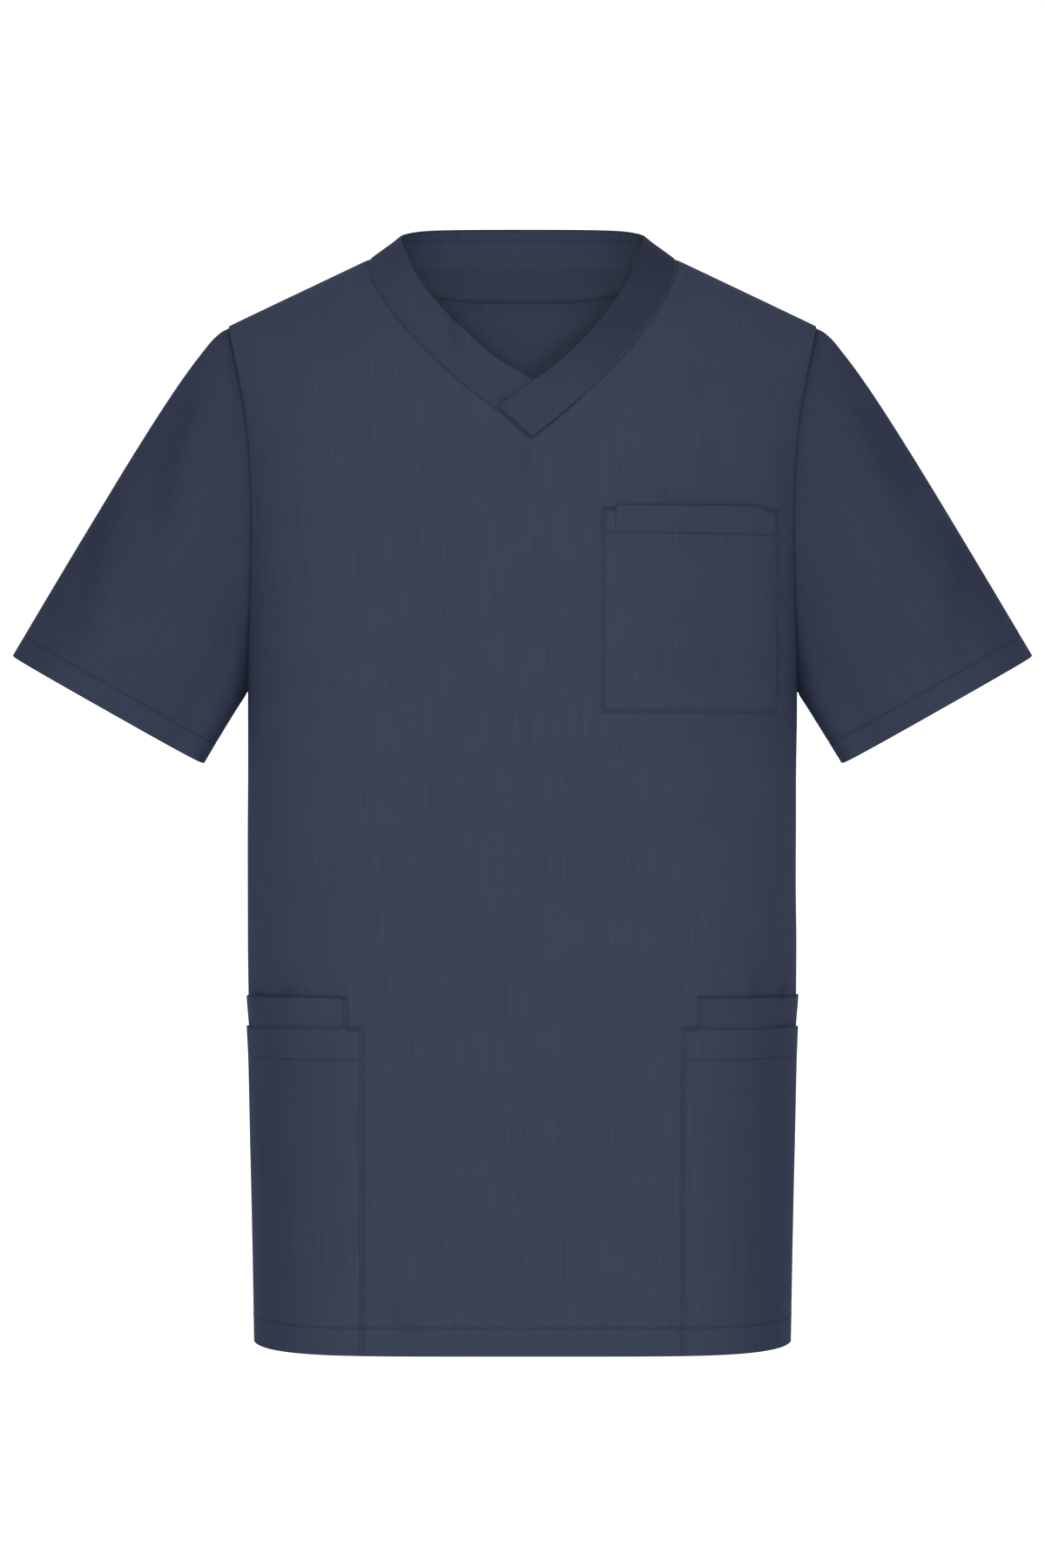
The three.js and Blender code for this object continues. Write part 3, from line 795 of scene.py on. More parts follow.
@dataclass
class Panels:
    """The front and back of the body, with the hem, the side seams and the shoulder seams."""

    neck_drop: float = 131.8
    neck_bow: float = 1.6
    neck_lean: float = 5.9
    lap_bend: float = 2.4
    lap_place: float = 0.86
    back_neck_drop: float = 0.6
    shoulder_columns: int = 26
    neck_columns: int = 46
    upper_rows: int = 84
    row_step: float = 4.6
    edge_power: float = 1.5
    hem_stitch: float = -748.6
    neck_inset: float = 1.5
    stitch_dip: float = 0.22
    stitch_dusk: float = 0.26
    side_dip: float = 0.5
    armhole_roll: float = 0.55
    neck_dip: float = 0.35
    opening_z: tuple[float, ...] = (-78, -37.6, -15.3, 25)
    opening_half: tuple[float, ...] = (0, 52, 73, 97)
    opening_dusk: float = 0.27
    grids: dict[int, Grid] = field(default_factory=dict)

    def neck(self, half: Half, side: int, share: Array) -> tuple[Array, Array]:
        """One side of a panel's neckline.

        Args:
            half: The front or the back.
            side: -1 for the wearer's right and 1 for the left.
            share: How far along it to go: 0 at the neck point and 1 in the middle.

        Returns:
            The places across the body and their heights.
        """
        turn = share * np.pi / 2
        if half is BACK:
            x = side * FORM.neck_half * np.cos(turn)
            return x, -self.back_neck_drop * np.sin(turn) ** 2
        low = 1 - np.cos(turn)
        lean = self.neck_lean * smooth(0, 1, low)
        if side < 0:
            lean = lean + self.lap_bend * bump(low - self.lap_place, 0.08) * smooth(1, 0.93, low)
        return side * FORM.neck_half * (1 - low**self.neck_bow) + lean, -self.neck_drop * low

    def top_edge(self, half: Half) -> Array:
        """The top of a panel: one shoulder seam, the neckline and the other shoulder seam.

        Args:
            half: The front or the back.

        Returns:
            Three rows: places across the body, heights, and signed shares of the way to the side
            that the columns start from at the hem.
        """
        out = (np.arange(self.shoulder_columns) / self.shoulder_columns) ** self.edge_power
        down = np.arange(self.neck_columns + 1) / self.neck_columns
        sides = []
        for side, _ in SIDES:
            x = side * lerp(FORM.armhole_reach[-1], FORM.neck_half, out)
            neck_x, neck_z = self.neck(half, side, down)
            share = side * np.concatenate([1 - out / 3, 2 / 3 * (1 - down)])
            edge = np.stack([np.append(x, neck_x), np.append(FORM.ridge(x), neck_z), share])
            sides.append(edge if side < 0 else edge[:, ::-1][:, 1:])
        return np.concatenate(sides, axis=1)

    def grid(self, half: Half) -> Grid:
        """The grid of one panel, from the hem up to its shoulder seams and neckline.

        Args:
            half: The front or the back.

        Returns:
            The grid, which is made once.
        """
        if half.sign in self.grids:
            return self.grids[half.sign]
        top_x, top_z, low = self.top_edge(half)
        lower = stops(FORM.hem, FORM.underarm, self.row_step, [self.hem_stitch])
        lower = lower[lower < FORM.underarm - 2.5][:, None]
        count = np.arange(self.upper_rows + 1)[:, None]
        rows, climb = count / self.upper_rows, 1 - np.cos(np.pi * count / self.upper_rows)
        z = lerp(FORM.underarm, top_z, climb / 2)
        top_turn = FORM.turn_at(half, top_x, top_z) / self.side_turn(half, top_z)
        turn = lerp(low, top_turn, rows) * self.side_turn(half, z)
        turn = np.concatenate([np.tile(low, (len(lower), 1)), turn])
        height = np.concatenate([np.repeat(lower, len(low), axis=1), z])
        points, normals = FORM.at_height(half, turn, height)
        rise = np.linalg.norm(np.diff(points, axis=0), axis=-1)
        up = np.concatenate([np.zeros((1, len(low))), np.cumsum(rise, axis=0)])
        place = np.stack([FORM.girth(half, turn) * -half.sign, up], axis=-1)
        self.grids[half.sign] = Grid(points, normals, place)
        return self.grids[half.sign]

    @staticmethod
    def side_turn(half: Half, z: Array) -> Array:
        """Turn of a panel's side edge.

        Args:
            half: The front or the back.
            z: The heights.

        Returns:
            The turn at each of them.
        """
        height = np.minimum(z, FORM.shoulder - FORM.tip)
        edge = FORM.turn_at(half, FORM.armhole_x(height), height)
        return np.where(z <= FORM.underarm, 1.0, edge)

    def neck_run(self, half: Half) -> tuple[Array, Array]:
        """The whole neckline of one panel.

        Args:
            half: The front or the back.

        Returns:
            Its points and their normals, from the wearer's right to the left.
        """
        grid = self.grid(half)
        run = slice(self.shoulder_columns, self.shoulder_columns + 2 * self.neck_columns + 1)
        return grid.points[-1, run], grid.normals[-1, run]

    def neck_stitch(self, half: Half) -> Array:
        """The line of topstitching beside the neckline, on the panel.

        Args:
            half: The front or the back.

        Returns:
            Its points, with a sharp corner at the V of the front.
        """
        points, normals = self.neck_run(half)
        along = unit(np.gradient(points, axis=0))
        line = points + np.cross(normals, along) * half.sign * self.neck_inset
        if half is BACK:
            return line
        middle = self.neck_columns
        corner = points[middle] - np.array([0.0, 0.0, 1.45 * self.neck_inset])
        return np.concatenate([line[:middle - 2], corner[None], line[middle + 3:]])

    def hem_line(self, half: Half, lift: float = 0.0) -> Array:
        """The line of the hem's stitching.

        Args:
            half: The front or the back.
            lift: How far it stands off the form.

        Returns:
            Its points.
        """
        turn = np.linspace(-1, 1, 241)
        points, normals = FORM.at_height(half, turn, np.full_like(turn, self.hem_stitch))
        return points + normals * lift

    def lift(self, half: Half, seam: Array) -> tuple[Array, Array]:
        """How far the outer skin of a panel stands off the form, and how dark its folds are.

        Args:
            half: The front or the back.
            seam: How near each point is to a stitch line.

        Returns:
            The lift and the dusk of each point.
        """
        points, normals = self.grid(half).points, self.grid(half).normals
        lift, dusk = DRAPE.settle(points, normals)
        edges = [np.linalg.norm(points - edge, axis=-1) for edge in (points[:, :1], points[:, -1:])]
        side = np.minimum(*edges)
        top = np.linalg.norm(points - points[-1:], axis=-1)
        z = points[..., 2]
        above = smooth(FORM.underarm - 6, FORM.underarm + 30, z)
        facing = smooth(0.2, 0.8, half.sign * normals[..., 1])
        lift = lift - self.stitch_dip * seam - self.neck_dip * bump(top, 1.3)
        lift = lift - np.where(z < FORM.underarm, self.side_dip, 0.1) * bump(side, 1.6)
        return lift + self.armhole_roll * above * facing * bump(side - 4.0, 5.0), dusk

    def neck_shade(self, grid: Grid) -> Array:
        """How much the inside of the back is shaded beside the opening of the front."""
        edge = np.interp(grid.points[..., 2], self.opening_z, self.opening_half)
        return self.opening_dusk * smooth(-20, 3, np.abs(grid.points[..., 0] - 1.5) - edge)

    def build(self, dresser: Dresser) -> None:
        """Makes both panels.

        Args:
            dresser: What makes the meshes.
        """
        for half, name in ((FRONT, "front_panel"), (BACK, "back_panel")):
            grid, stitch = self.grid(half), self.neck_stitch(half)
            seam = SeamLines([self.hem_line(half), stitch]).near(grid.points)
            lift, dusk = self.lift(half, seam)
            dusk = dusk + self.stitch_dusk * SeamLines([stitch], 0.6).near(grid.points)
            hem = smooth(self.hem_stitch + 1.2, self.hem_stitch, grid.points[..., 2])
            if half is BACK:
                grid = grid.flipped()
                lift, seam, hem, dusk = (v[:, ::-1] for v in (lift, seam, hem, dusk))
            inner = Paint(0.0, self.neck_shade(grid) if half is BACK else dusk)
            piece = dresser.wall(name, grid, lift, inner_skin(lift, hem), "cloth",
                                 Paint(seam, dusk), inner)
            dresser.settle(piece, Slot.CLOTH, name)


# ---------------------------------------------------------------------------------- sleeves


@dataclass
class Sleeves:
    """Both sleeves: smooth curves from each point of the armhole to the cuff, with a hem."""

    cuff: tuple[float, float] = (294.5, -320.0)
    cuff_half_width: float = 77.8
    cuff_half_depth: float = 53.0
    cuff_power: float = 2.8
    cuff_tilt: float = math.radians(29.5)
    arrive_tilt: float = math.radians(30.6)
    tilt: float = math.radians(58)
    top_pull: float = 1.85
    under_pull: float = 0.12
    top_leave: float = 0.107
    under_leave: float = 0.13
    arrive: float = 0.72
    hem: float = 16.0
    tuck: float = 1.6
    stand_off: float = 0.1
    head_z: tuple[float, float] = (-128, -74)
    starts: tuple[float, ...] = (
        0, 0.012, 0.026, 0.045, 0.065, 0.09, 0.115, 0.145, 0.18, 0.215, 0.25, 0.29, 0.33, 0.37,
        0.41, 0.45, 0.49, 0.53, 0.57, 0.61, 0.65, 0.69, 0.73, 0.77, 0.81, 0.85, 0.89, 0.93, 0.965)
    hem_left: tuple[float, ...] = (
        18.6, 17.2, 16.6, 16.2, 15.8, 15.4, 14.8, 13.2, 10.5, 7, 4, 2, 0.8, 0.3, 0)

    def loop(self, side: int, panels: Panels) -> tuple[Array, Array]:
        """The armhole from the shoulder point down the front, under the arm and up the back.

        Args:
            side: -1 for the right sleeve and 1 for the left.
            panels: The panels whose edges it follows.

        Returns:
            Points on the cloth's outer face, and the way off the edge in the cloth.
        """
        edge = 0 if side < 0 else -1
        front, back = panels.grid(FRONT), panels.grid(BACK)
        first = len(front.points) - panels.upper_rows - 1
        points, normals = (
            np.concatenate([one[first:, edge][::-1], other[first + 1:-1, edge]])
            for one, other in ((front.points, back.points), (front.normals, back.normals)))
        for place in (0, panels.upper_rows):
            points[place, 1] = normals[place, 1] = 0.0
        along = unit(np.roll(points, -1, axis=0) - np.roll(points, 1, axis=0))
        return points, unit(np.cross(along, unit(normals)) * -side)

    def cuff_ring(self, side: int, turn: Array) -> Array:
        """The edge of a cuff, as a rounded box.

        Args:
            side: -1 for the right sleeve and 1 for the left.
            turn: How far round each point lies, as an angle from the top.

        Returns:
            Its points.
        """
        middle = np.array([side * self.cuff[0], 0.0, self.cuff[1]])
        across = np.array([side * math.cos(self.cuff_tilt), 0.0, math.sin(self.cuff_tilt)])
        out = self.cuff_half_width * power(np.cos(turn), 2 / self.cuff_power)
        ring = middle + across * out[:, None]
        ring[:, 1] -= self.cuff_half_depth * power(np.sin(turn), 2 / self.cuff_power)
        return ring

    def grid(self, side: int, panels: Panels) -> tuple[Grid, Array, Array]:
        """One sleeve's grid from the cuff up.

        Args:
            side: -1 for the right sleeve and 1 for the left.
            panels: The panels that it is sewn to.

        Returns:
            The grid, and each point's way from the seam and from the cuff.
        """
        points, off = self.loop(side, panels)
        count = len(points)
        turn = 2 * np.pi * np.arange(count) / count
        high = ((1 + np.cos(turn)) / 2)[:, None]
        axis = np.array([side * math.cos(self.tilt), 0.0, -math.sin(self.tilt)])
        cuff_axis = np.array([side * math.sin(self.arrive_tilt), 0.0, -math.cos(self.arrive_tilt)])
        start = unit(axis + off * lerp(self.under_pull, self.top_pull, high**2))
        begin, end = points + off * self.stand_off, self.cuff_ring(side, turn)
        length = np.linalg.norm(end - begin, axis=1, keepdims=True)
        leave = begin + start * lerp(self.under_leave, self.top_leave, high) * length
        arrive = end - cuff_axis * self.arrive * length
        speed = 3 * self.arrive * length
        shares = [share * (1 - (self.hem_left[0] + 1) / speed) for share in self.starts]
        shares += [1 - left / speed for left in self.hem_left]
        run = np.stack([begin - off * self.tuck, *(
            (1 - t) ** 3 * begin + 3 * (1 - t) ** 2 * t * leave + 3 * (1 - t) * t**2 * arrive
            + t**3 * end for t in shares)])
        steps = np.linalg.norm(np.diff(run, axis=0), axis=-1)
        from_seam = np.concatenate([np.zeros((1, count)), np.cumsum(steps, axis=0)]) - self.tuck
        to_cuff = from_seam[-1] - from_seam
        around = lengths(np.concatenate([end, end[:1]]))[:-1]
        place = np.stack([np.tile(around, (len(run), 1)) * -side, to_cuff], axis=-1)
        run, from_seam, to_cuff, place = (
            v[::-1, ::-side] for v in (run, from_seam, to_cuff, place))
        return with_normals(run, place, closed=True), from_seam, to_cuff

    @staticmethod
    def shade(side: int, grid: Grid, from_seam: Array, head: Array) -> Array:
        """Painted shade beside the armhole seam, and painted light on the edge under the arm.

        Args:
            side: -1 for the right sleeve and 1 for the left.
            grid: The sleeve's grid.
            from_seam: How far each point is from the seam.
            head: How near each point is to the sleeve's head, from 0 to 1.

        Returns:
            The dusk, negative where light is painted on.
        """
        under = unit(np.array([-side * 0.87, 0.0, -0.49]))
        # Painted light on the cloth that faces down and out under the arm.
        painted_light = 0.6 * smooth(0.25, 0.95, grid.normals @ under) * smooth(3, 24, from_seam)
        line = (0.4 + 0.12 * head) * bump(np.maximum(from_seam - 0.4, 0), 1.6)
        soft = (0.10 + 0.12 * head) * bump(np.maximum(from_seam, 0), 7)
        return (line + soft) * smooth(0.1, 0.6, np.abs(grid.normals[..., 1])) - painted_light

    def stitch(self, grid: Grid, to_cuff: Array) -> Array:
        """The closed line of a hem's stitching."""
        line = [read_along(to_cuff[:, i], grid.points[:, i], self.hem)
                for i in range(to_cuff.shape[1])]
        return np.array([*line, line[0]])

    def build(self, dresser: Dresser, panels: Panels) -> dict[int, Array]:
        """Makes both sleeves.

        Args:
            dresser: What makes the meshes.
            panels: The panels that they are sewn to.

        Returns:
            The line of the hem's stitching, by side.
        """
        lines = {}
        for side, word in SIDES:
            name = f"sleeve_{word}"
            grid, from_seam, to_cuff = self.grid(side, panels)
            seam = bump(to_cuff - self.hem, 0.9)
            head = smooth(*self.head_z, grid.points[..., 2])
            clear = smooth(4, 26, from_seam)
            lift, dusk = (v * clear for v in DRAPE.settle(grid.points, grid.normals))
            swell = 0.5 * bump(from_seam - 15, 8) - 0.7 * bump(from_seam - 1.5, 3.5)
            lift = lift - 0.6 * bump(np.maximum(from_seam, 0), 3.0) + head * swell
            lift = lift - 0.2 * seam - np.where(from_seam < 0, 0.9, 0.0)
            bottom = inner_skin(lift, smooth(self.hem + 1.0, self.hem, to_cuff))
            dusk = dusk + self.shade(side, grid, from_seam, head)
            piece = dresser.wall(name, grid, lift, bottom, "sleeve", Paint(seam, dusk), closed=True)
            dresser.settle(piece, Slot.CLOTH, name)
            lines[side] = self.stitch(grid, to_cuff)
        return lines


# --------------------------------------------------------------------------------- neckline


RIGHT_CREASE = ((-49.5, -36), (-48.5, -56), (-46, -80))
LAP_END = ((-36, -129.8), (-17.6, -114.6), (6.4, -94.9), (26, -79))
BAND_DRAPE = {
    -1: Drape((
        Fold(View.FRONT, RIGHT_CREASE, 3.6, rise=-1.3),
        Fold(View.FRONT, RIGHT_CREASE, 2.8, dusk=0.18),
        Fold(View.FRONT, ((-43, -40), (-42, -56), (-40, -76)), 4, rise=0.8),
        Fold(View.FRONT, LAP_END, 1.0, dusk=0.35, ease=0.1))),
    1: Drape((Fold(View.FRONT, ((50, -86), (60, -72), (72, -60)), 9, rise=-0.7),)),
}


@dataclass
class Neckline:
    """The neckband in three pieces, lapped at the V, and the facing inside the back."""

    width: float = 30.0
    narrow: float = 0.905
    lap_flat: float = 32.0
    lap_over: float = 52.0
    lap_gap: float = 0.15
    skew: float = 5.1
    shoulder_lift: float = 0.165
    lift_start: float = 0.6
    back_lift: float = 0.34
    seam_dip: float = 0.45
    tuck_dip: float = 0.6
    stitch_dip: float = 0.25
    top_stitch: float = 7.0
    # How much painted shade the band's inner skin and rims take.
    inner_shade: float = 0.4
    facing_half: float = 103.0
    facing_drop: float = 21.2
    facing_rise: float = 5.5
    facing_top: float = 0.6
    facing_edge_dusk: float = 0.45
    facing_stitches: tuple[float, float] = (6.6, 1.8)
    drops: tuple[float, ...] = (
        1, 0.985, 0.96, 0.93, 0.9, 0.86, 0.8, 0.7, 0.58, 0.46, 0.34, 0.22, 0.12)
    rows: tuple[float, ...] = (
        -0.8, 0, 0.5, 1.1, 2, 3.4, 5.5, 8.5, 12, 15.5, 19, 22.5, 25.5, 27.6, 29, 29.6, 30)
    facing_start: int = 3

    def band(self, points: Array, normals: Array, tilt: Array, skew: Array, share: Array,
             mirror: tuple[bool, bool]) -> Grid:
        """A band standing off one stretch of the neckline.

        Args:
            points: The seam's points, left to right seen from outside.
            normals: The panel's normals there.
            tilt: How far each column leans out of the panel, as an angle.
            skew: How far each column's free end is moved along the seam.
            share: The share of the full width that each column has.
            mirror: Whether the seam goes on over the shoulder beyond its first and last points.

        Returns:
            The band's grid, from its seam to its free edge.
        """
        over = np.array([1.0, -1.0, 1.0])
        before = points[1] * over if mirror[0] else points[0]
        after = points[-2] * over if mirror[1] else points[-1]
        line = np.concatenate([before[None], points, after[None]])
        along = unit(line[2:] - line[:-2])
        inward = unit(np.cross(normals, along))
        way = inward * np.cos(tilt)[:, None] + normals * np.sin(tilt)[:, None]
        way = (way + along * (skew / self.width)[:, None]) * share[:, None]
        run = np.stack([points + way * out for out in self.rows])
        return with_normals(run, run[..., [0, 2]] * np.array([1.0, 1.03]))

    def front(self, side: int, panels: Panels) -> tuple[Grid, Array]:
        """One front band.

        Args:
            side: -1 for the wearer's right and 1 for the left, which laps over.
            panels: The panels that it is sewn to.

        Returns:
            Its grid, and how far each of its columns laps over.
        """
        middle = panels.neck_columns
        run = slice(0, middle + 1) if side < 0 else slice(middle, None)
        points, normals = (v[run] for v in panels.neck_run(FRONT))
        far = lengths(points[::side])[::side]
        near = (1 - smooth(self.lap_flat, self.lap_over, far)) * (side > 0)
        tilt = self.shoulder_lift * smooth(self.lift_start, 1, far / far.max())
        share = lerp(1.0, self.narrow, smooth(12, 60, far))
        grid = self.band(points, normals, tilt, -self.skew * near, share, (side < 0, side > 0))
        return grid, (BAND_CLOTH + self.lap_gap) * near

    def back(self, panels: Panels) -> Grid:
        """The back band's grid.

        Args:
            panels: The panels that it is sewn to.

        Returns:
            The grid.
        """
        points, normals = (v[::-1] for v in panels.neck_run(BACK))
        out = np.abs(np.linspace(-1, 1, len(points)))
        tilt = lerp(self.back_lift, self.shoulder_lift, out**2)
        share = lerp(1.0, self.narrow, smooth(0.45, 1.0, out))
        return self.band(points, normals, tilt, np.zeros(len(points)), share, (True, True))

    def facing(self, panels: Panels, band: Grid) -> Grid:
        """The grid of the facing: behind the back band and on down the back panel.

        Args:
            panels: The panels that it lies on.
            band: The back band's grid.

        Returns:
            The grid.
        """
        seam = panels.neck_run(BACK)[0][::-1]
        kept = np.abs(seam[:, 0]) <= self.facing_half
        x, z = seam[kept, 0], seam[kept, 2]
        sag = self.facing_drop - self.facing_rise * smooth(38, 85, np.abs(x))
        lower = [FORM.at(BACK, x, z - sag * share) for share in self.drops]
        upper = list(band.points[self.facing_start:, kept])
        upper[-1] = lerp(upper[-1], upper[-3], self.facing_top)
        run = np.stack([*(spot[0] for spot in lower), *upper])
        normals = [*(spot[1] for spot in lower), *band.normals[self.facing_start:, kept]]
        return Grid(run, np.stack(normals), run[..., [0, 2]])

    def build(self, dresser: Dresser, panels: Panels) -> list[Array]:
        """Makes the band's pieces and the facing.

        Args:
            dresser: What makes the meshes.
            panels: The panels that they are sewn to.

        Returns:
            The facing's stitch lines.
        """
        rows = np.array(self.rows)
        dip = -self.seam_dip * bump(np.maximum(rows, 0), 2.2) - self.tuck_dip * (rows < 0)
        dip = dip[:, None]
        for side, word in SIDES:
            name = f"neckband_{word}"
            grid, lap = self.front(side, panels)
            lift, dusk = BAND_DRAPE[side].settle(grid.points, grid.normals)
            lift = lift + dip * (1 - 0.75 * lap / BAND_CLOTH) + lap
            z = grid.points[..., 2]
            dusk = dusk + 0.24 * (side > 0) * smooth(-118, -40, z) + 0.10 * smooth(-40, 10, z)
            piece = dresser.wall(name, grid, lift, lift - BAND_CLOTH, "band", Paint(0.0, dusk),
                                 inner_shade=self.inner_shade)
            dresser.settle(piece, Slot.CLOTH, name)
        grid = self.back(panels)
        line = np.array([read_along(rows, column, self.width - self.top_stitch)
                         for column in grid.points.transpose(1, 0, 2)])
        seam = SeamLines([line], width=0.9).near(grid.points)
        lift = dip - self.stitch_dip * seam
        x = grid.points[..., 0]
        dusk = np.where(x > 0, 0.32, 0.10) * smooth(0.70, 1.0, np.abs(x) / FORM.neck_half)
        piece = dresser.wall("neckband_back", grid, lift, lift - BAND_CLOTH, "band",
                             Paint(seam, dusk), Paint(), inner_shade=self.inner_shade)
        dresser.settle(piece, Slot.CLOTH, "neckband_back")
        return self.build_facing(dresser, self.facing(panels, grid))

    def build_facing(self, dresser: Dresser, grid: Grid) -> list[Array]:
        """Makes the facing, which thins out towards its ends.

        Args:
            dresser: What makes the mesh.
            grid: The facing's grid.

        Returns:
            Its stitch lines.
        """
        out = np.abs(grid.points[..., 0])
        end = smooth(self.facing_half - 24, self.facing_half - 1, out)
        outside = -BAND_CLOTH - lerp(0.35, 0.04, end)
        inside = outside - lerp(CLOTH, 0.25, end)
        skin = grid.raised(inside)
        top, low = self.facing_stitches
        lines = [self.below_edge(skin, top), self.below_edge(skin[::-1], low)]
        seam = SeamLines(lines, width=0.9).near(skin)
        dusk = 0.10 * smooth(50, 88, out)
        dusk[:2] = self.facing_edge_dusk
        piece = dresser.wall("back_facing", grid, outside, inside + self.stitch_dip * seam,
                             "inside", Paint(0.0, dusk), Paint(seam, dusk))
        dresser.settle(piece, Slot.INSIDE, "back_facing")
        return lines

    @staticmethod
    def below_edge(points: Array, distance: float) -> Array:
        """The line at a distance below a grid's last row."""
        columns = points[::-1].transpose(1, 0, 2)
        return np.array([read_along(lengths(column), column, distance) for column in columns])


# ---------------------------------------------------------------------------------- pockets


@dataclass
class Pockets:
    """The chest pocket and, on each side, an inner and an outer lower pocket."""

    chest_inner: float = 55.2
    chest_outer: float = 178.0
    chest_top: float = -180.0
    chest_bottom: float = -323.6
    chest_hem: float = -199.4
    chest_gape: float = 1.3
    chest_bag: float = 0.45
    corner_dip: float = 2.3
    pen_line: float = 64.2
    edge_stitch: float = 1.3
    outer_inner: float = 110.0
    outer_top: float = -541.5
    outer_hem: float = -563.0
    outer_side_drop: float = 4.0
    outer_sag: float = 1.2
    inner_inner: float = 121.5
    inner_top: float = -520.9
    inner_side_drop: float = 2.3
    shared: float = 128.0
    turned_columns: int = 34
    column_step: float = 4.5
    stitch_dip: float = 0.22
    edge_dip: float = 0.3
    edge_dusk: float = 0.08
    seat: float = 0.12
    line_lift: float = 3.0
    lines: dict[str, list[Array]] = field(default_factory=dict)

    def line(self, side: int, *places: tuple[float, float]) -> Array:
        """A line over the front, standing off it.

        Args:
            side: -1 for the wearer's right and 1 for the left.
            places: The (across, height) places it runs through, as on the left.

        Returns:
            Its points.
        """
        path = spread(np.array(places, float), 2.0)
        points, normals = FORM.at(FRONT, side * path[:, 0], path[:, 1])
        return points + normals * self.line_lift

    def patch(self, dresser: Dresser, name: str, side: int, x: Array, z: Array, off: Array,
              lines: list[Array], edges: Array, mouth: Array,
              thick: Array | float = CLOTH) -> bpy.types.Object:
        """A pocket's cloth on the front panel.

        Args:
            dresser: What makes the mesh.
            name: The piece's name.
            side: -1 for the wearer's right and 1 for the left.
            x: The places across the body of its rows of points, as on the left.
            z: Their heights.
            off: How far it stands off the panel.
            lines: Its stitch lines.
            edges: How near each point is to a stitched edge.
            mouth: How much painted shadow each point takes beside the open edge.
            thick: The cloth's thickness.

        Returns:
            The object.
        """
        points, normals = FORM.at(FRONT, side * x, z)
        around = FORM.girth(FRONT, FORM.turn_at(FRONT, side * x, z))
        grid = Grid(points, normals, np.stack([around, z + 900.0], axis=-1))
        lift, dusk = DRAPE.settle(points, normals)
        on_cloth = [line - self.line_lift * FORM.at(FRONT, line[:, 0], line[:, 2])[1]
                    for line in lines]
        seam = SeamLines(on_cloth).near(points)
        bottom = lift + off + self.seat
        top = bottom + thick - self.stitch_dip * seam - self.edge_dip * edges
        dusk = dusk + self.edge_dusk * edges + mouth
        if side < 0:
            grid = grid.flipped()
            top, bottom, seam, dusk = (v[:, ::-1] for v in (top, bottom, seam, dusk))
        piece = dresser.wall(name, grid, top, bottom, "cloth", Paint(seam, dusk))
        dresser.settle(piece, Slot.CLOTH, name)
        self.lines[name] = lines
        return piece

    def chest(self, dresser: Dresser) -> None:
        """The chest pocket, with its own hem and a pen division.

        Args:
            dresser: What makes the mesh.
        """
        width, height = self.chest_outer - self.chest_inner, self.chest_top - self.chest_bottom
        stitch = self.edge_stitch
        marks = [stitch, self.pen_line - self.chest_inner, width - 9, width - stitch]
        across = stops(0, width, self.column_step, marks) / width
        marks = [stitch, self.chest_hem - self.chest_bottom]
        s, t = np.meshgrid(across, stops(0, height, self.column_step, marks) / height)
        x = lerp(self.chest_inner, self.chest_outer, s) + 0.8 * (t - 0.5) * (1 - s)
        inside = np.minimum(s, 1 - s) * width
        z = lerp(self.chest_bottom, self.chest_top - self.corner_dip * smooth(12, 7, inside), t)
        z = z + 0.16 * np.sin(9.0 * s + 1.0) * smooth(0.86, 1, t)
        bag = self.chest_bag * np.sin(np.pi * s) * np.sin(np.pi * np.minimum(t, 0.93))
        pinned = smooth(0.06, 0.3, s) * smooth(0.02, 0.28, 1 - s)
        gape = self.chest_gape * pinned * smooth(0.82, 1.0, t)
        inner, outer = self.chest_inner + stitch, self.chest_outer - stitch
        top, bottom = self.chest_top - 3.5, self.chest_bottom + stitch
        lines = [
            self.line(1, (inner + 0.5, top), (inner, bottom), (outer, bottom), (outer, top)),
            self.line(1, (self.chest_inner + 0.4, self.chest_hem),
                      (self.chest_outer, self.chest_hem - 0.9)),
            self.line(1, (self.pen_line + 0.2, self.chest_top - 1.0),
                      (self.pen_line, self.chest_hem)),
        ]
        edges = bump(np.minimum(inside, t * height), 1.0)
        # Painted shadow along the pocket's open edge.
        mouth = 0.34 * bump((1 - t) * height, 0.9)
        piece = self.patch(dresser, "chest_pocket", 1, x, z, bag + gape, lines, edges, mouth)

    def lower_places(self, first: float, top: float, drop: float,
                     up: Array) -> tuple[Array, Array]:
        """The places of a lower pocket, from its stitched edge round to the side seam.

        Args:
            first: Where its stitched edge lies.
            top: The height of its open edge.
            drop: How far the open edge falls towards the side seam.
            up: How far up each row lies, as a share.

        Returns:
            Places across the body, as on the left, and their heights.
        """
        flat = stops(first, self.shared + 6, 4.0, [first + self.edge_stitch + 0.5])
        flat = flat[flat < self.shared - 1.5]
        across = np.linspace(0, 1, self.turned_columns) ** 0.94
        z_turned = lerp(FORM.hem, top - drop * across**2, up[:, None])
        turn = lerp(FORM.turn_at(FRONT, np.full_like(z_turned, self.shared), z_turned), 1.0, across)
        x_turned = FORM.section(FRONT, turn)[0] * FORM.half_width(FRONT, z_turned)
        z_flat = np.tile(lerp(FORM.hem, top, up)[:, None], len(flat))
        x = np.concatenate([np.tile(flat, (len(up), 1)), x_turned], axis=1)
        return x, np.concatenate([z_flat, z_turned], axis=1)

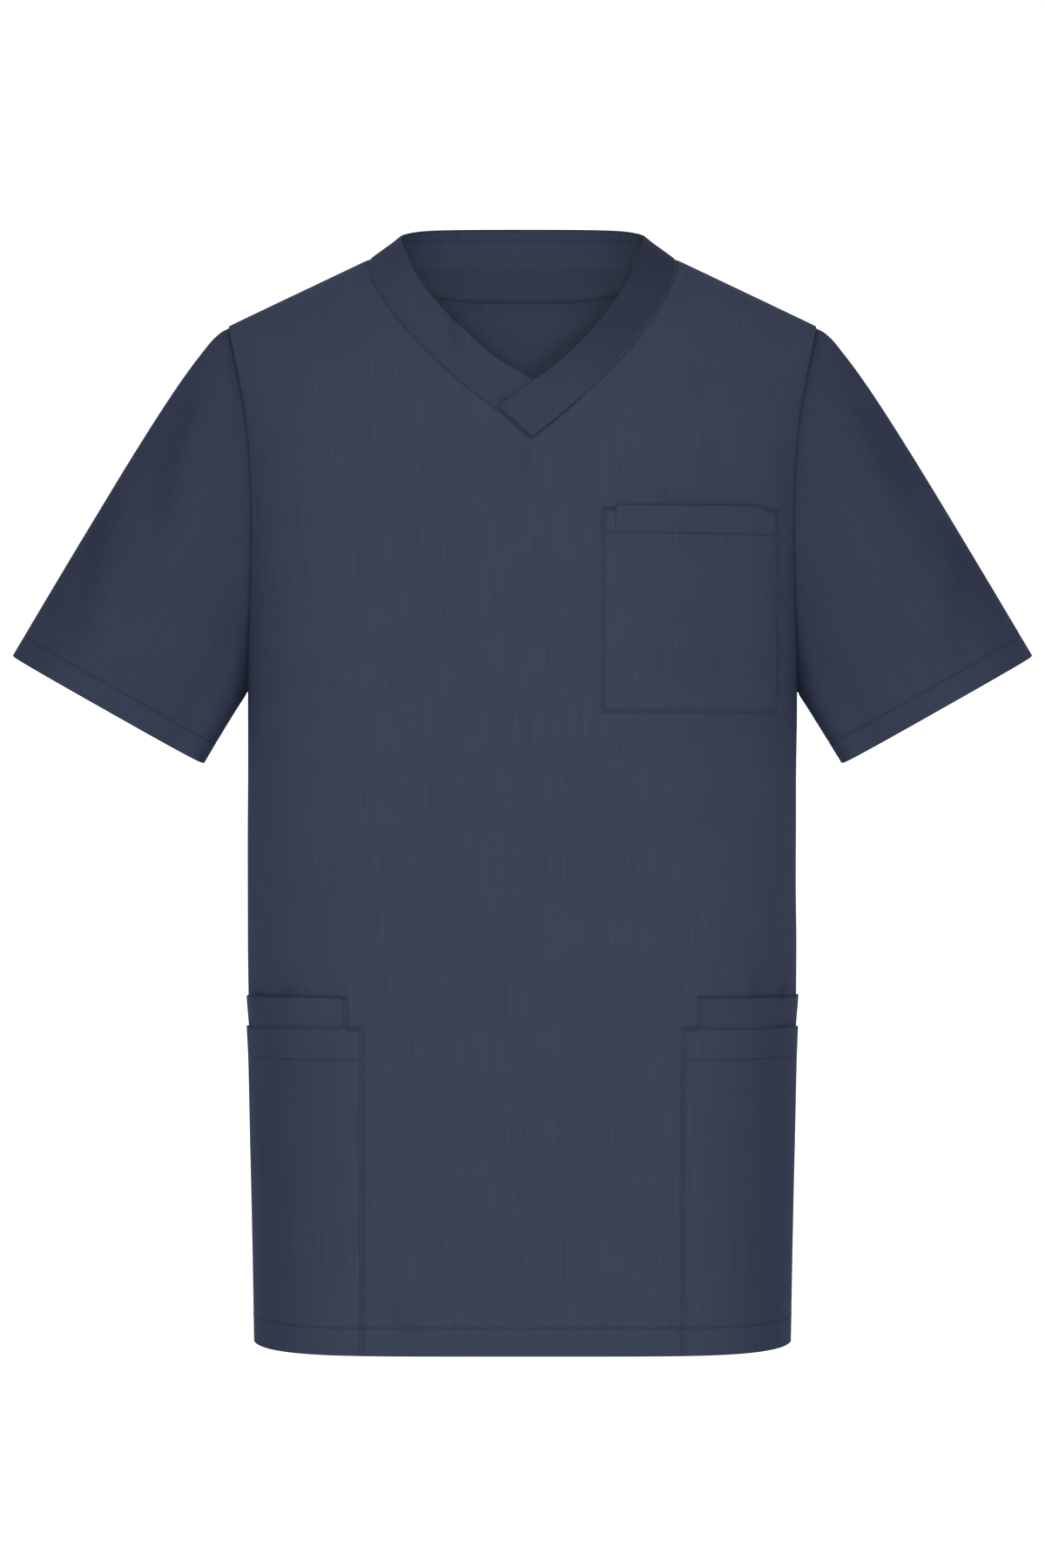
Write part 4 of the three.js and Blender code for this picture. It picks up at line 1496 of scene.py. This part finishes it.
    def lower(self, dresser: Dresser, panels: Panels, side: int, outer: bool) -> None:
        """One lower pocket, down to the hem.

        Args:
            dresser: What makes the mesh.
            panels: The panels that it lies on.
            side: -1 for the wearer's right and 1 for the left.
            outer: True for the outer pocket and False for the inner one.
        """
        first, top, drop, hem = (
            (self.outer_inner, self.outer_top, self.outer_side_drop, self.outer_hem) if outer else
            (self.inner_inner, self.inner_top, self.inner_side_drop, self.outer_top - 1.0))
        height = top - FORM.hem
        marks = [panels.hem_stitch - FORM.hem, hem - FORM.hem]
        up = stops(0, height, self.column_step, marks) / height
        x, z = self.lower_places(first, top, drop, up)
        share, t = np.meshgrid(np.linspace(0, 1, x.shape[1]), up)
        near_top = smooth(42, 0, (1 - t) * height) ** 2
        waves = self.mouth_waves(side, outer, share)
        sag = self.outer_sag * outer * np.sin(np.pi * share)
        z = z + near_top * (0.5 * waves - sag)
        pinned = smooth(0.05, 0.3, share) * smooth(0.02, 0.34, 1 - share)
        side_seam = smooth(0.86, 1.0, share)
        off = near_top * pinned * (0.8 + 0.45 * waves)
        off = off + 0.25 * smooth(0, 0.1, share) * (1 - side_seam)
        if outer:
            over = lerp(CLOTH + 0.35, 0.64, side_seam)
            off = off + over * smooth(first + 1.5, first + 15, x)
        edge = first + self.edge_stitch + 0.5
        low = FORM.hem + 1.0 if outer else self.outer_top - 6
        lines = [self.line(side, (edge, top - 0.5), (edge, low))]
        if outer:
            reach = FORM.half_widths[0] - 0.5
            lines.append(self.line(side, (first, hem - 0.2), (140, hem - 0.9), (reach, hem - 1.4)))
            lines.append(self.line(side, (first, panels.hem_stitch), (reach, panels.hem_stitch)))
        # Painted shadow along the pocket's open edge.
        mouth = (0.10 if outer else 0.36) * bump((1 - t) * height, 1.0)
        name = f"{'outer' if outer else 'inner'}_pocket_{'left' if side > 0 else 'right'}"
        piece = self.patch(dresser, name, side, x, z, off, lines, bump(x - first, 1.0), mouth,
                           CLOTH * (1 - 0.4 * side_seam))

    @staticmethod
    def mouth_waves(side: int, outer: bool, share: Array) -> Array:
        """The uneven line of a pocket's mouth, from about -1.5 to 1.5."""
        shift = 0.9 * side + (1.7 if outer else 0.0)
        return np.sin(7.0 * share + shift) + 0.5 * np.sin(15.0 * share + 2.0 * shift)

    def build(self, dresser: Dresser, panels: Panels) -> dict[str, list[Array]]:
        """Makes all five pockets.

        Args:
            dresser: What makes the meshes.
            panels: The panels that they lie on.

        Returns:
            Their stitch lines, by the pocket's name.
        """
        self.chest(dresser)
        for side, _ in SIDES:
            self.lower(dresser, panels, side, outer=False)
            self.lower(dresser, panels, side, outer=True)
        return self.lines


# --------------------------------------------------------------------------------- stitching


@dataclass(frozen=True)
class Thread:
    """A kind of stitching: the way from one stitch to the next, and the thread's radius."""

    pitch: float = 3.0
    radius: float = 0.21


TOPSTITCH = Thread()
BARTACK = Thread(pitch=1.0, radius=0.34)


@dataclass
class Stitching:
    """Rows of small stitches, snapped to the cloth below them."""

    covered: float = 2.35 / 3.0
    sides: int = 6
    shares: tuple[float, ...] = (0.0, 0.16, 0.5, 0.84, 1.0)
    sizes: tuple[float, ...] = (0.35, 0.9, 1.0, 0.9, 0.35)
    heights: tuple[float, ...] = (-0.12, 0.06, 0.16, 0.06, -0.12)
    trees: dict[str, BVHTree] = field(default_factory=dict)

    def tree(self, piece: bpy.types.Object) -> BVHTree:
        """The search tree of one piece's mesh, made once.

        Args:
            piece: The piece.

        Returns:
            The tree.
        """
        if piece.name not in self.trees:
            points = [v.co for v in piece.data.vertices]
            faces = [tuple(p.vertices) for p in piece.data.polygons]
            self.trees[piece.name] = BVHTree.FromPolygons(points, faces)
        return self.trees[piece.name]

    def snap(self, pieces: Sequence[bpy.types.Object], point: Array) -> tuple[Array, Array]:
        """The nearest place on the pieces to a point, and the normal there."""
        found = [self.tree(piece).find_nearest(Vector(point * METRE)) for piece in pieces]
        place, normal, _, _ = min(found, key=lambda hit: hit[3])
        return np.array(place) / METRE, np.array(normal)

    def row(self, pieces: Sequence[bpy.types.Object], line: Array,
            thread: Thread = TOPSTITCH) -> Stitches:
        """The vertices and faces of one row of stitches.

        Args:
            pieces: The cloth that it may lie on.
            line: The row's line, beside the cloth's outer face.
            thread: The kind of stitching.

        Returns:
            The vertices, and the faces as vertex numbers.
        """
        points: list[Array] = []
        faces: list[list[int]] = []
        gap = (1 - self.covered) / 2
        count, rings = self.sides, len(self.shares)
        angles = np.linspace(0, 2 * np.pi, count, endpoint=False)
        spots = [self.snap(pieces, knot) for knot in spread(line, thread.pitch)]
        for (start, start_normal), (end, end_normal) in zip(spots[:-1], spots[1:]):
            way = end - start
            if not 0.3 * thread.pitch < np.linalg.norm(way) < 2.2 * thread.pitch:
                continue
            normal = unit(start_normal + end_normal)
            across = unit(np.cross(unit(way), normal))
            first = len(points)
            for share, size, height in zip(self.shares, self.sizes, self.heights):
                centre = start + way * lerp(gap, 1 - gap, share) + normal * height
                reach = thread.radius * size
                points += [centre + reach * (across * math.cos(a) + normal * math.sin(a))
                           for a in angles]
            for ring in range(first, first + (rings - 1) * count, count):
                for i in range(count):
                    j = (i + 1) % count
                    faces.append([ring + i, ring + j, ring + count + j, ring + count + i])
            last = first + (rings - 1) * count
            faces.append(list(range(first, first + count))[::-1])
            faces.append(list(range(last, last + count)))
        return points, faces

    def piece(self, dresser: Dresser, name: str, rows: Sequence[Stitches]) -> None:
        """Joins rows of stitches into one piece.

        Args:
            dresser: What makes the mesh.
            name: The piece's name.
            rows: The rows' vertices and faces.
        """
        points: list[Array] = []
        faces: list[list[int]] = []
        for row_points, row_faces in rows:
            faces += [[v + len(points) for v in face] for face in row_faces]
            points += row_points
        dresser.settle(dresser.mesh(name, np.array(points), faces, "thread"), Slot.THREAD)

    def over_front(self, piece: bpy.types.Object, places: Sequence[tuple[float, float]],
                   lift: float, thread: Thread = TOPSTITCH) -> Stitches:
        """A row of stitches over the front, through (across, height) places."""
        x, z = np.array(places, float).T
        points, normals = FORM.at(FRONT, x, z)
        return self.row([piece], points + normals * lift, thread)

    def build(self, dresser: Dresser, panels: Panels, cuffs: dict[int, Array],
              facing: list[Array], pockets: dict[str, list[Array]]) -> None:
        """Makes all the stitching of the top.

        Args:
            dresser: What makes the meshes, with the pieces made so far.
            panels: The panels, with their own stitch lines.
            cuffs: The lines of the sleeves' hems, by side.
            facing: The facing's lines.
            pockets: The pockets' lines, by name.
        """
        got = dresser.pieces
        front, back, chest = got["front_panel"], got["back_panel"], got["chest_pocket"]
        outer = [got["outer_pocket_left"], got["outer_pocket_right"]]
        self.piece(dresser, "stitching_hem", [
            self.row([front, *outer], panels.hem_line(FRONT, 5.0)),
            self.row([back], panels.hem_line(BACK, 2.0))])
        lap = ((-16.6, -112.4), (-4.0, -122.3), (5.9, -130.4))
        self.piece(dresser, "stitching_neckline", [
            self.row([front], panels.neck_stitch(FRONT)),
            self.row([back], panels.neck_stitch(BACK)),
            self.over_front(got["neckband_left"], lap, 6.0)])
        self.piece(dresser, "stitching_facing",
                   [self.row([got["back_facing"]], line) for line in facing])
        for side, word in SIDES:
            self.piece(dresser, f"stitching_sleeve_{word}",
                       [self.row([got[f"sleeve_{word}"]], cuffs[side])])
        rows = [self.row([chest], line) for line in pockets["chest_pocket"]]
        rows += [self.over_front(chest, ends, 4.0, BARTACK) for ends in (
            ((56.4, -182.9), (64.6, -182.6)), ((56.4, -183.9), (64.6, -183.6)),
            ((167.5, -182.0), (177.0, -183.4)), ((168.5, -183.2), (177.0, -184.4)))]
        self.piece(dresser, "stitching_chest_pocket", rows)
        for side, word in SIDES:
            over, under = got[f"outer_pocket_{word}"], got[f"inner_pocket_{word}"]
            rows = [self.row([over], line) for line in pockets[f"outer_pocket_{word}"][:2]]
            rows += [self.row([under], line) for line in pockets[f"inner_pocket_{word}"]]
            rows += [self.over_front(over, ((side * 111, z), (side * 121, z)), 4.0, BARTACK)
                     for z in (-541.9, -543.7)]
            ends = ((side * 123, -520.2), (side * 128, -519.8))
            rows.append(self.over_front(under, ends, 4.0, BARTACK))
            self.piece(dresser, f"stitching_lower_pockets_{word}", rows)


# --------------------------------------------------------------------------------- materials


NAVY = (0.0475, 0.0588, 0.0972)
# Darker copies of the cloth's navy for the neckband and the sleeves: painted shade.
NAVY_BAND_SHADED = (0.0440, 0.0545, 0.0910)
NAVY_SLEEVE_SHADED = (0.0428, 0.0536, 0.0912)
# Navy thread, darker than the cloth's navy: the darkening is painted shade of the stitch grooves.
NAVY_THREAD = (0.030, 0.037, 0.062)


class Nodes:
    """Short ways to add and join shader nodes in one tree."""

    def __init__(self, tree: bpy.types.NodeTree) -> None:
        """Keeps the tree."""
        self.tree = tree

    def add(self, kind: str) -> bpy.types.Node:
        """Adds a node."""
        return self.tree.nodes.new(kind)

    def link(self, source: object, target: bpy.types.NodeSocket) -> None:
        """Joins a socket to another, or sets a value on it.

        Args:
            source: The socket or the value.
            target: The socket that takes it.
        """
        if isinstance(source, bpy.types.NodeSocket):
            self.tree.links.new(source, target)
        else:
            target.default_value = source

    def math(self, operation: str, *values: object) -> bpy.types.NodeSocket:
        """The result of a math node.

        Args:
            operation: The node's operation.
            values: Sockets or numbers for its inputs.

        Returns:
            The socket of the result.
        """
        node = self.add("ShaderNodeMath")
        node.operation = operation
        for value, target in zip(values, node.inputs):
            self.link(value, target)
        return node.outputs[0]

    def noise(self, place: object, scale: object, detail: float) -> bpy.types.NodeSocket:
        """The value of a flat noise texture.

        Args:
            place: The socket of the place on the cloth.
            scale: The texture's scale, as a socket or a number.
            detail: Its detail.

        Returns:
            The socket of the value.
        """
        node = self.add("ShaderNodeTexNoise")
        node.noise_dimensions = "2D"
        self.link(place, node.inputs["Vector"])
        self.link(scale, node.inputs["Scale"])
        node.inputs["Detail"].default_value = detail
        return node.outputs["Fac"]

    def group(self, tree: bpy.types.NodeTree, **inputs: object) -> bpy.types.Node:
        """A placed node group.

        Args:
            tree: The group's tree.
            inputs: Sockets or numbers for its inputs, with _ for a space in a name.

        Returns:
            The node.
        """
        node = self.add("ShaderNodeGroup")
        node.node_tree = tree
        for label, value in inputs.items():
            self.link(value, node.inputs[label.replace("_", " ")])
        return node

    def paint(self, tone: bpy.types.NodeSocket, color: tuple[float, float, float],
              shader: bpy.types.Node) -> None:
        """Gives a shader a colour times a tone.

        Args:
            tone: The socket of the tone.
            color: The colour.
            shader: The shader's node.
        """
        scale = self.add("ShaderNodeVectorMath")
        scale.operation = "SCALE"
        scale.inputs[0].default_value = color
        self.link(tone, scale.inputs["Scale"])
        self.link(scale.outputs[0], shader.inputs["Base Color"])


class Effects:
    """Shader node groups that several finishes share. Each puts out numbers only."""

    def __init__(self) -> None:
        """Builds the groups once."""
        self.weave = self.make_weave()
        self.streaks = self.make_streaks()
        self.shade = self.make_shade()

    @staticmethod
    def start(name: str, inputs: dict[str, float],
              outputs: Sequence[str]) -> tuple[Nodes, bpy.types.Node, bpy.types.Node]:
        """An empty group.

        Args:
            name: The group's name.
            inputs: The starting value of each number that it takes; "Place" is a vector.
            outputs: The names of the numbers that it puts out.

        Returns:
            The group's nodes, its input node and its output node.
        """
        tree = bpy.data.node_groups.new(name, "ShaderNodeTree")
        for label, value in inputs.items():
            kind = "NodeSocketVector" if label == "Place" else "NodeSocketFloat"
            socket = tree.interface.new_socket(label, in_out="INPUT", socket_type=kind)
            if label != "Place":
                socket.default_value = value
        for label in outputs:
            tree.interface.new_socket(label, in_out="OUTPUT", socket_type="NodeSocketFloat")
        kit = Nodes(tree)
        return kit, kit.add("NodeGroupInput"), kit.add("NodeGroupOutput")

    def make_weave(self) -> bpy.types.NodeTree:
        """Plain weave: threads over and under, in both directions, on the flat cloth.

        Returns:
            The group's tree.
        """
        kit, begin, finish = self.start(
            "plain_weave", {"Place": 0.0, "Threads": 2200.0, "Unevenness": 0.3},
            ("Height", "Hollow"))
        wobble = kit.math("SUBTRACT", kit.noise(begin.outputs["Place"], 260.0, 2.0), 0.5)
        wobble = kit.math("MULTIPLY", wobble, begin.outputs["Unevenness"])
        split = kit.add("ShaderNodeSeparateXYZ")
        kit.link(begin.outputs["Place"], split.inputs[0])
        waves = []
        for axis in ("X", "Y"):
            place = kit.math("MULTIPLY", split.outputs[axis], begin.outputs["Threads"])
            place = kit.math("ADD", place, wobble)
            waves.append(kit.math("SINE", kit.math("MULTIPLY", place, math.pi)))
        product = kit.math("MULTIPLY", *waves)
        kit.link(kit.math("MULTIPLY_ADD", product, 0.5, 0.5), finish.inputs["Height"])
        hollow = kit.math("SUBTRACT", 1.0, kit.math("ABSOLUTE", product))
        kit.link(hollow, finish.inputs["Hollow"])
        return kit.tree

    def make_streaks(self) -> bpy.types.NodeTree:
        """Slubs: fine streaks along the warp, fainter ones across it, and broad soft mottling.

        Returns:
            The group's tree.
        """
        kit, begin, finish = self.start(
            "slub_streaks", {"Place": 0.0, "Fine": 760.0, "Long": 22.0, "Mottle": 26.0},
            ("Warp", "Weft", "Mottling"))
        split = kit.add("ShaderNodeSeparateXYZ")
        kit.link(begin.outputs["Place"], split.inputs[0])
        for label, *axes in (("Warp", "X", "Y"), ("Weft", "Y", "X")):
            join = kit.add("ShaderNodeCombineXYZ")
            for axis, scale, target in zip(axes, ("Fine", "Long"), join.inputs):
                kit.link(kit.math("MULTIPLY", split.outputs[axis], begin.outputs[scale]), target)
            kit.link(kit.noise(join.outputs[0], 1.0, 3.0), finish.inputs[label])
        mottling = kit.noise(begin.outputs["Place"], begin.outputs["Mottle"], 3.0)
        kit.link(mottling, finish.inputs["Mottling"])
        return kit.tree

    def make_shade(self) -> bpy.types.NodeTree:
        """How much the cloth is darkened: painted shade beside a seam, painted shade on its inner
        skin and rims, and its dusk.

        Returns:
            The group's tree.
        """
        kit, begin, finish = self.start(
            "seam_shade", {"Seam": 0.0, "Inside": 0.0, "Dusk": 0.0, "Seam Depth": 0.35,
                           "Inside Depth": 0.1}, ("Shade",))
        seam, inside = (
            kit.math("MULTIPLY", begin.outputs[label], begin.outputs[f"{label} Depth"])
            for label in ("Seam", "Inside"))
        left = kit.math("MULTIPLY", kit.math("SUBTRACT", 1.0, seam),
                        kit.math("SUBTRACT", 1.0, inside))
        left = kit.math("MULTIPLY", left, kit.math("SUBTRACT", 1.0, begin.outputs["Dusk"]))
        kit.link(left, finish.inputs["Shade"])
        return kit.tree


@dataclass(frozen=True)
class ClothFinish:
    """Matt plain-woven poly-cotton in one navy."""

    name: str
    color: tuple[float, float, float]
    warp: float = 0.25
    weft: float = 0.07
    mottling: float = 0.10
    hollow: float = -0.12
    hollow_base: float = 1.06
    weave: float = 0.22
    relief: float = 0.00012
    slub_relief: float = 0.6
    roughness: float = 0.9
    polish: float = -0.06
    specular: float = 0.02
    sheen: float = 0.14
    sheen_roughness: float = 0.5
    sheen_tint: tuple[float, float, float] = (0.10, 0.15, 0.34)
    # seam_depth darkens the cloth beside stitch lines: painted shade in their grooves.
    seam_depth: float = 0.14
    # inside_depth darkens inner skins and rims: painted shade.
    inside_depth: float = 0.03

    def build(self, effects: Effects) -> bpy.types.Material:
        """Makes the material.

        Args:
            effects: The shared node groups.

        Returns:
            The material.
        """
        material = bpy.data.materials.new(self.name)
        material.use_nodes = True
        kit = Nodes(material.node_tree)
        shader = material.node_tree.nodes["Principled BSDF"]
        place = kit.add("ShaderNodeUVMap")
        place.uv_map = "cloth"
        streaks = kit.group(effects.streaks, Place=place.outputs[0])
        weave = kit.group(effects.weave, Place=place.outputs[0])
        masks = {}
        for label in ("Seam", "Inside", "Dusk"):
            node = kit.add("ShaderNodeAttribute")
            node.attribute_name = label.lower()
            masks[label] = node.outputs["Fac"]
        shade = kit.group(effects.shade, **masks, Seam_Depth=self.seam_depth,
                          Inside_Depth=self.inside_depth)
        tone = shade.outputs["Shade"]
        for label, strength in (
                ("Warp", self.warp), ("Weft", self.weft), ("Mottling", self.mottling)):
            source = kit.math("SUBTRACT", streaks.outputs[label], 0.5)
            tone = kit.math("MULTIPLY", tone, kit.math("MULTIPLY_ADD", source, strength, 1.0))
        gaps = kit.math("MULTIPLY_ADD", weave.outputs["Hollow"], self.hollow, self.hollow_base)
        kit.paint(kit.math("MULTIPLY", tone, gaps), self.color, shader)
        rough = kit.math("MULTIPLY_ADD", weave.outputs["Height"], self.polish, self.roughness)
        kit.link(rough, shader.inputs["Roughness"])
        slub = kit.math("MULTIPLY_ADD", streaks.outputs["Warp"], self.slub_relief,
                        weave.outputs["Height"])
        relief = kit.add("ShaderNodeBump")
        relief.inputs["Strength"].default_value = self.weave
        relief.inputs["Distance"].default_value = self.relief
        kit.link(slub, relief.inputs["Height"])
        kit.link(relief.outputs["Normal"], shader.inputs["Normal"])
        shader.inputs["Specular IOR Level"].default_value = self.specular
        shader.inputs["Sheen Weight"].default_value = self.sheen
        shader.inputs["Sheen Roughness"].default_value = self.sheen_roughness
        shader.inputs["Sheen Tint"].default_value = (*self.sheen_tint, 1.0)
        return material


@dataclass(frozen=True)
class ThreadFinish:
    """Matt sewing thread with a fine twist."""

    name: str
    color: tuple[float, float, float]
    twist: float = 2400.0
    contrast: float = 0.5
    darkest: float = 0.75
    roughness: float = 0.7
    specular: float = 0.25

    def build(self) -> bpy.types.Material:
        """Makes the material.

        Returns:
            The material.
        """
        material = bpy.data.materials.new(self.name)
        material.use_nodes = True
        kit = Nodes(material.node_tree)
        shader = material.node_tree.nodes["Principled BSDF"]
        place = kit.add("ShaderNodeTexCoord")
        noise = kit.add("ShaderNodeTexNoise")
        kit.link(place.outputs["Object"], noise.inputs["Vector"])
        noise.inputs["Scale"].default_value = self.twist
        tone = kit.math("MULTIPLY_ADD", noise.outputs["Fac"], self.contrast, self.darkest)
        kit.paint(tone, self.color, shader)
        shader.inputs["Roughness"].default_value = self.roughness
        shader.inputs["Specular IOR Level"].default_value = self.specular
        return material


# ------------------------------------------------------------------------------------ studio


@dataclass(frozen=True)
class Lamp:
    """A square lamp that points at a place, in metres and watts."""

    name: str
    place: tuple[float, float, float]
    size: float
    watts: float
    aim: tuple[float, float, float] = (0.0, 0.0, -0.3732)

    def build(self) -> None:
        """Makes the lamp."""
        data = bpy.data.lights.new(self.name, "AREA")
        data.size = self.size
        data.energy = self.watts
        lamp = bpy.data.objects.new(self.name, data)
        lamp.location = self.place
        way = Vector(self.aim) - Vector(self.place)
        lamp.rotation_euler = way.to_track_quat("-Z", "Y").to_euler()
        bpy.context.scene.collection.objects.link(lamp)


@dataclass
class Studio:
    """The camera in front, a pale floor, and soft light that is strongest from the front.

    Its sizes are in metres.
    """

    distance: float = 4.1
    height: float = -0.3732
    frame_height: float = 1.116
    sensor: float = 36.0
    floor_level: float = -1.1
    floor_radius: float = 0.85
    floor_sides: int = 96
    floor_grey: float = 0.86
    floor_roughness: float = 0.9
    ambient: float = 0.55
    backdrop: float = 1.25
    lamps: tuple[Lamp, ...] = (
        Lamp("key", (0.0, -4.6, 0.1), 1.8, 84.0),
        Lamp("inner", (0.0, -0.03, -0.2), 0.07, 0.145, aim=(0.0, 0.06, 0.0)),
        Lamp("fill_back", (0.0, 3.4, 0.4), 2.8, 34.0))

    def build(self) -> None:
        """Makes the camera, the lights, the floor and the sky."""
        scene = bpy.context.scene
        scene.view_settings.view_transform = "Standard"
        scene.view_settings.look = "None"
        scene.view_settings.exposure = 0.0
        scene.view_settings.gamma = 1.0
        data = bpy.data.cameras.new("photo_view")
        data.sensor_fit = "AUTO"
        data.sensor_width = self.sensor
        data.lens = self.sensor * self.distance / self.frame_height
        camera = bpy.data.objects.new("photo_view", data)
        camera.location = (0.0, -self.distance, self.height)
        camera.rotation_euler = (math.pi / 2, 0.0, 0.0)
        scene.collection.objects.link(camera)
        scene.camera = camera
        for lamp in self.lamps:
            lamp.build()
        self.sky(scene)
        self.floor()

    def sky(self, scene: bpy.types.Scene) -> None:
        """An even white surround: soft light for the cloth, and white where it is seen itself.

        Args:
            scene: The scene that it is for.
        """
        world = bpy.data.worlds.new("surround")
        world.use_nodes = True
        scene.world = world
        kit = Nodes(world.node_tree)
        plain = world.node_tree.nodes["Background"]
        seen = kit.add("ShaderNodeBackground")
        for node, strength in ((plain, self.ambient), (seen, self.backdrop)):
            node.inputs["Color"].default_value = (1.0, 1.0, 1.0, 1.0)
            node.inputs["Strength"].default_value = strength
        path = kit.add("ShaderNodeLightPath")
        mix = kit.add("ShaderNodeMixShader")
        kit.link(path.outputs["Is Camera Ray"], mix.inputs[0])
        kit.link(plain.outputs[0], mix.inputs[1])
        kit.link(seen.outputs[0], mix.inputs[2])
        kit.link(mix.outputs[0], world.node_tree.nodes["World Output"].inputs["Surface"])

    def floor(self) -> None:
        """A plain pale round floor under the hanging top."""
        angles = np.linspace(0, 2 * np.pi, self.floor_sides, endpoint=False)
        ring = [(math.cos(a) * self.floor_radius, math.sin(a) * self.floor_radius,
                 self.floor_level) for a in angles]
        data = bpy.data.meshes.new("floor")
        data.from_pydata(ring, [], [list(range(self.floor_sides))])
        material = bpy.data.materials.new("pale_floor")
        material.use_nodes = True
        shader = material.node_tree.nodes["Principled BSDF"]
        shader.inputs["Base Color"].default_value = (*[self.floor_grey] * 3, 1.0)
        shader.inputs["Roughness"].default_value = self.floor_roughness
        data.materials.append(material)
        floor = bpy.data.objects.new("floor", data)
        bpy.context.scene.collection.objects.link(floor)


# -------------------------------------------------------------------------------------- main


def main() -> None:
    """Builds the studio and every piece of the top."""
    logging.basicConfig(level=logging.INFO, format="%(name)s %(message)s")
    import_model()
    Studio().build()
    effects = Effects()
    dresser = Dresser({
        "cloth": ClothFinish("navy_cloth", NAVY).build(effects),
        "sleeve": ClothFinish("navy_sleeve_shaded", NAVY_SLEEVE_SHADED).build(effects),
        "band": ClothFinish("navy_band_shaded", NAVY_BAND_SHADED).build(effects),
        "inside": ClothFinish("navy_inside", NAVY).build(effects),
        "thread": ThreadFinish("navy_thread", NAVY_THREAD).build(),
    })
    panels = Panels()
    panels.build(dresser)
    cuffs = Sleeves().build(dresser, panels)
    facing = Neckline().build(dresser, panels)
    pockets = Pockets().build(dresser, panels)
    Stitching().build(dresser, panels, cuffs, facing, pockets)


if __name__ == "__main__":
    main()
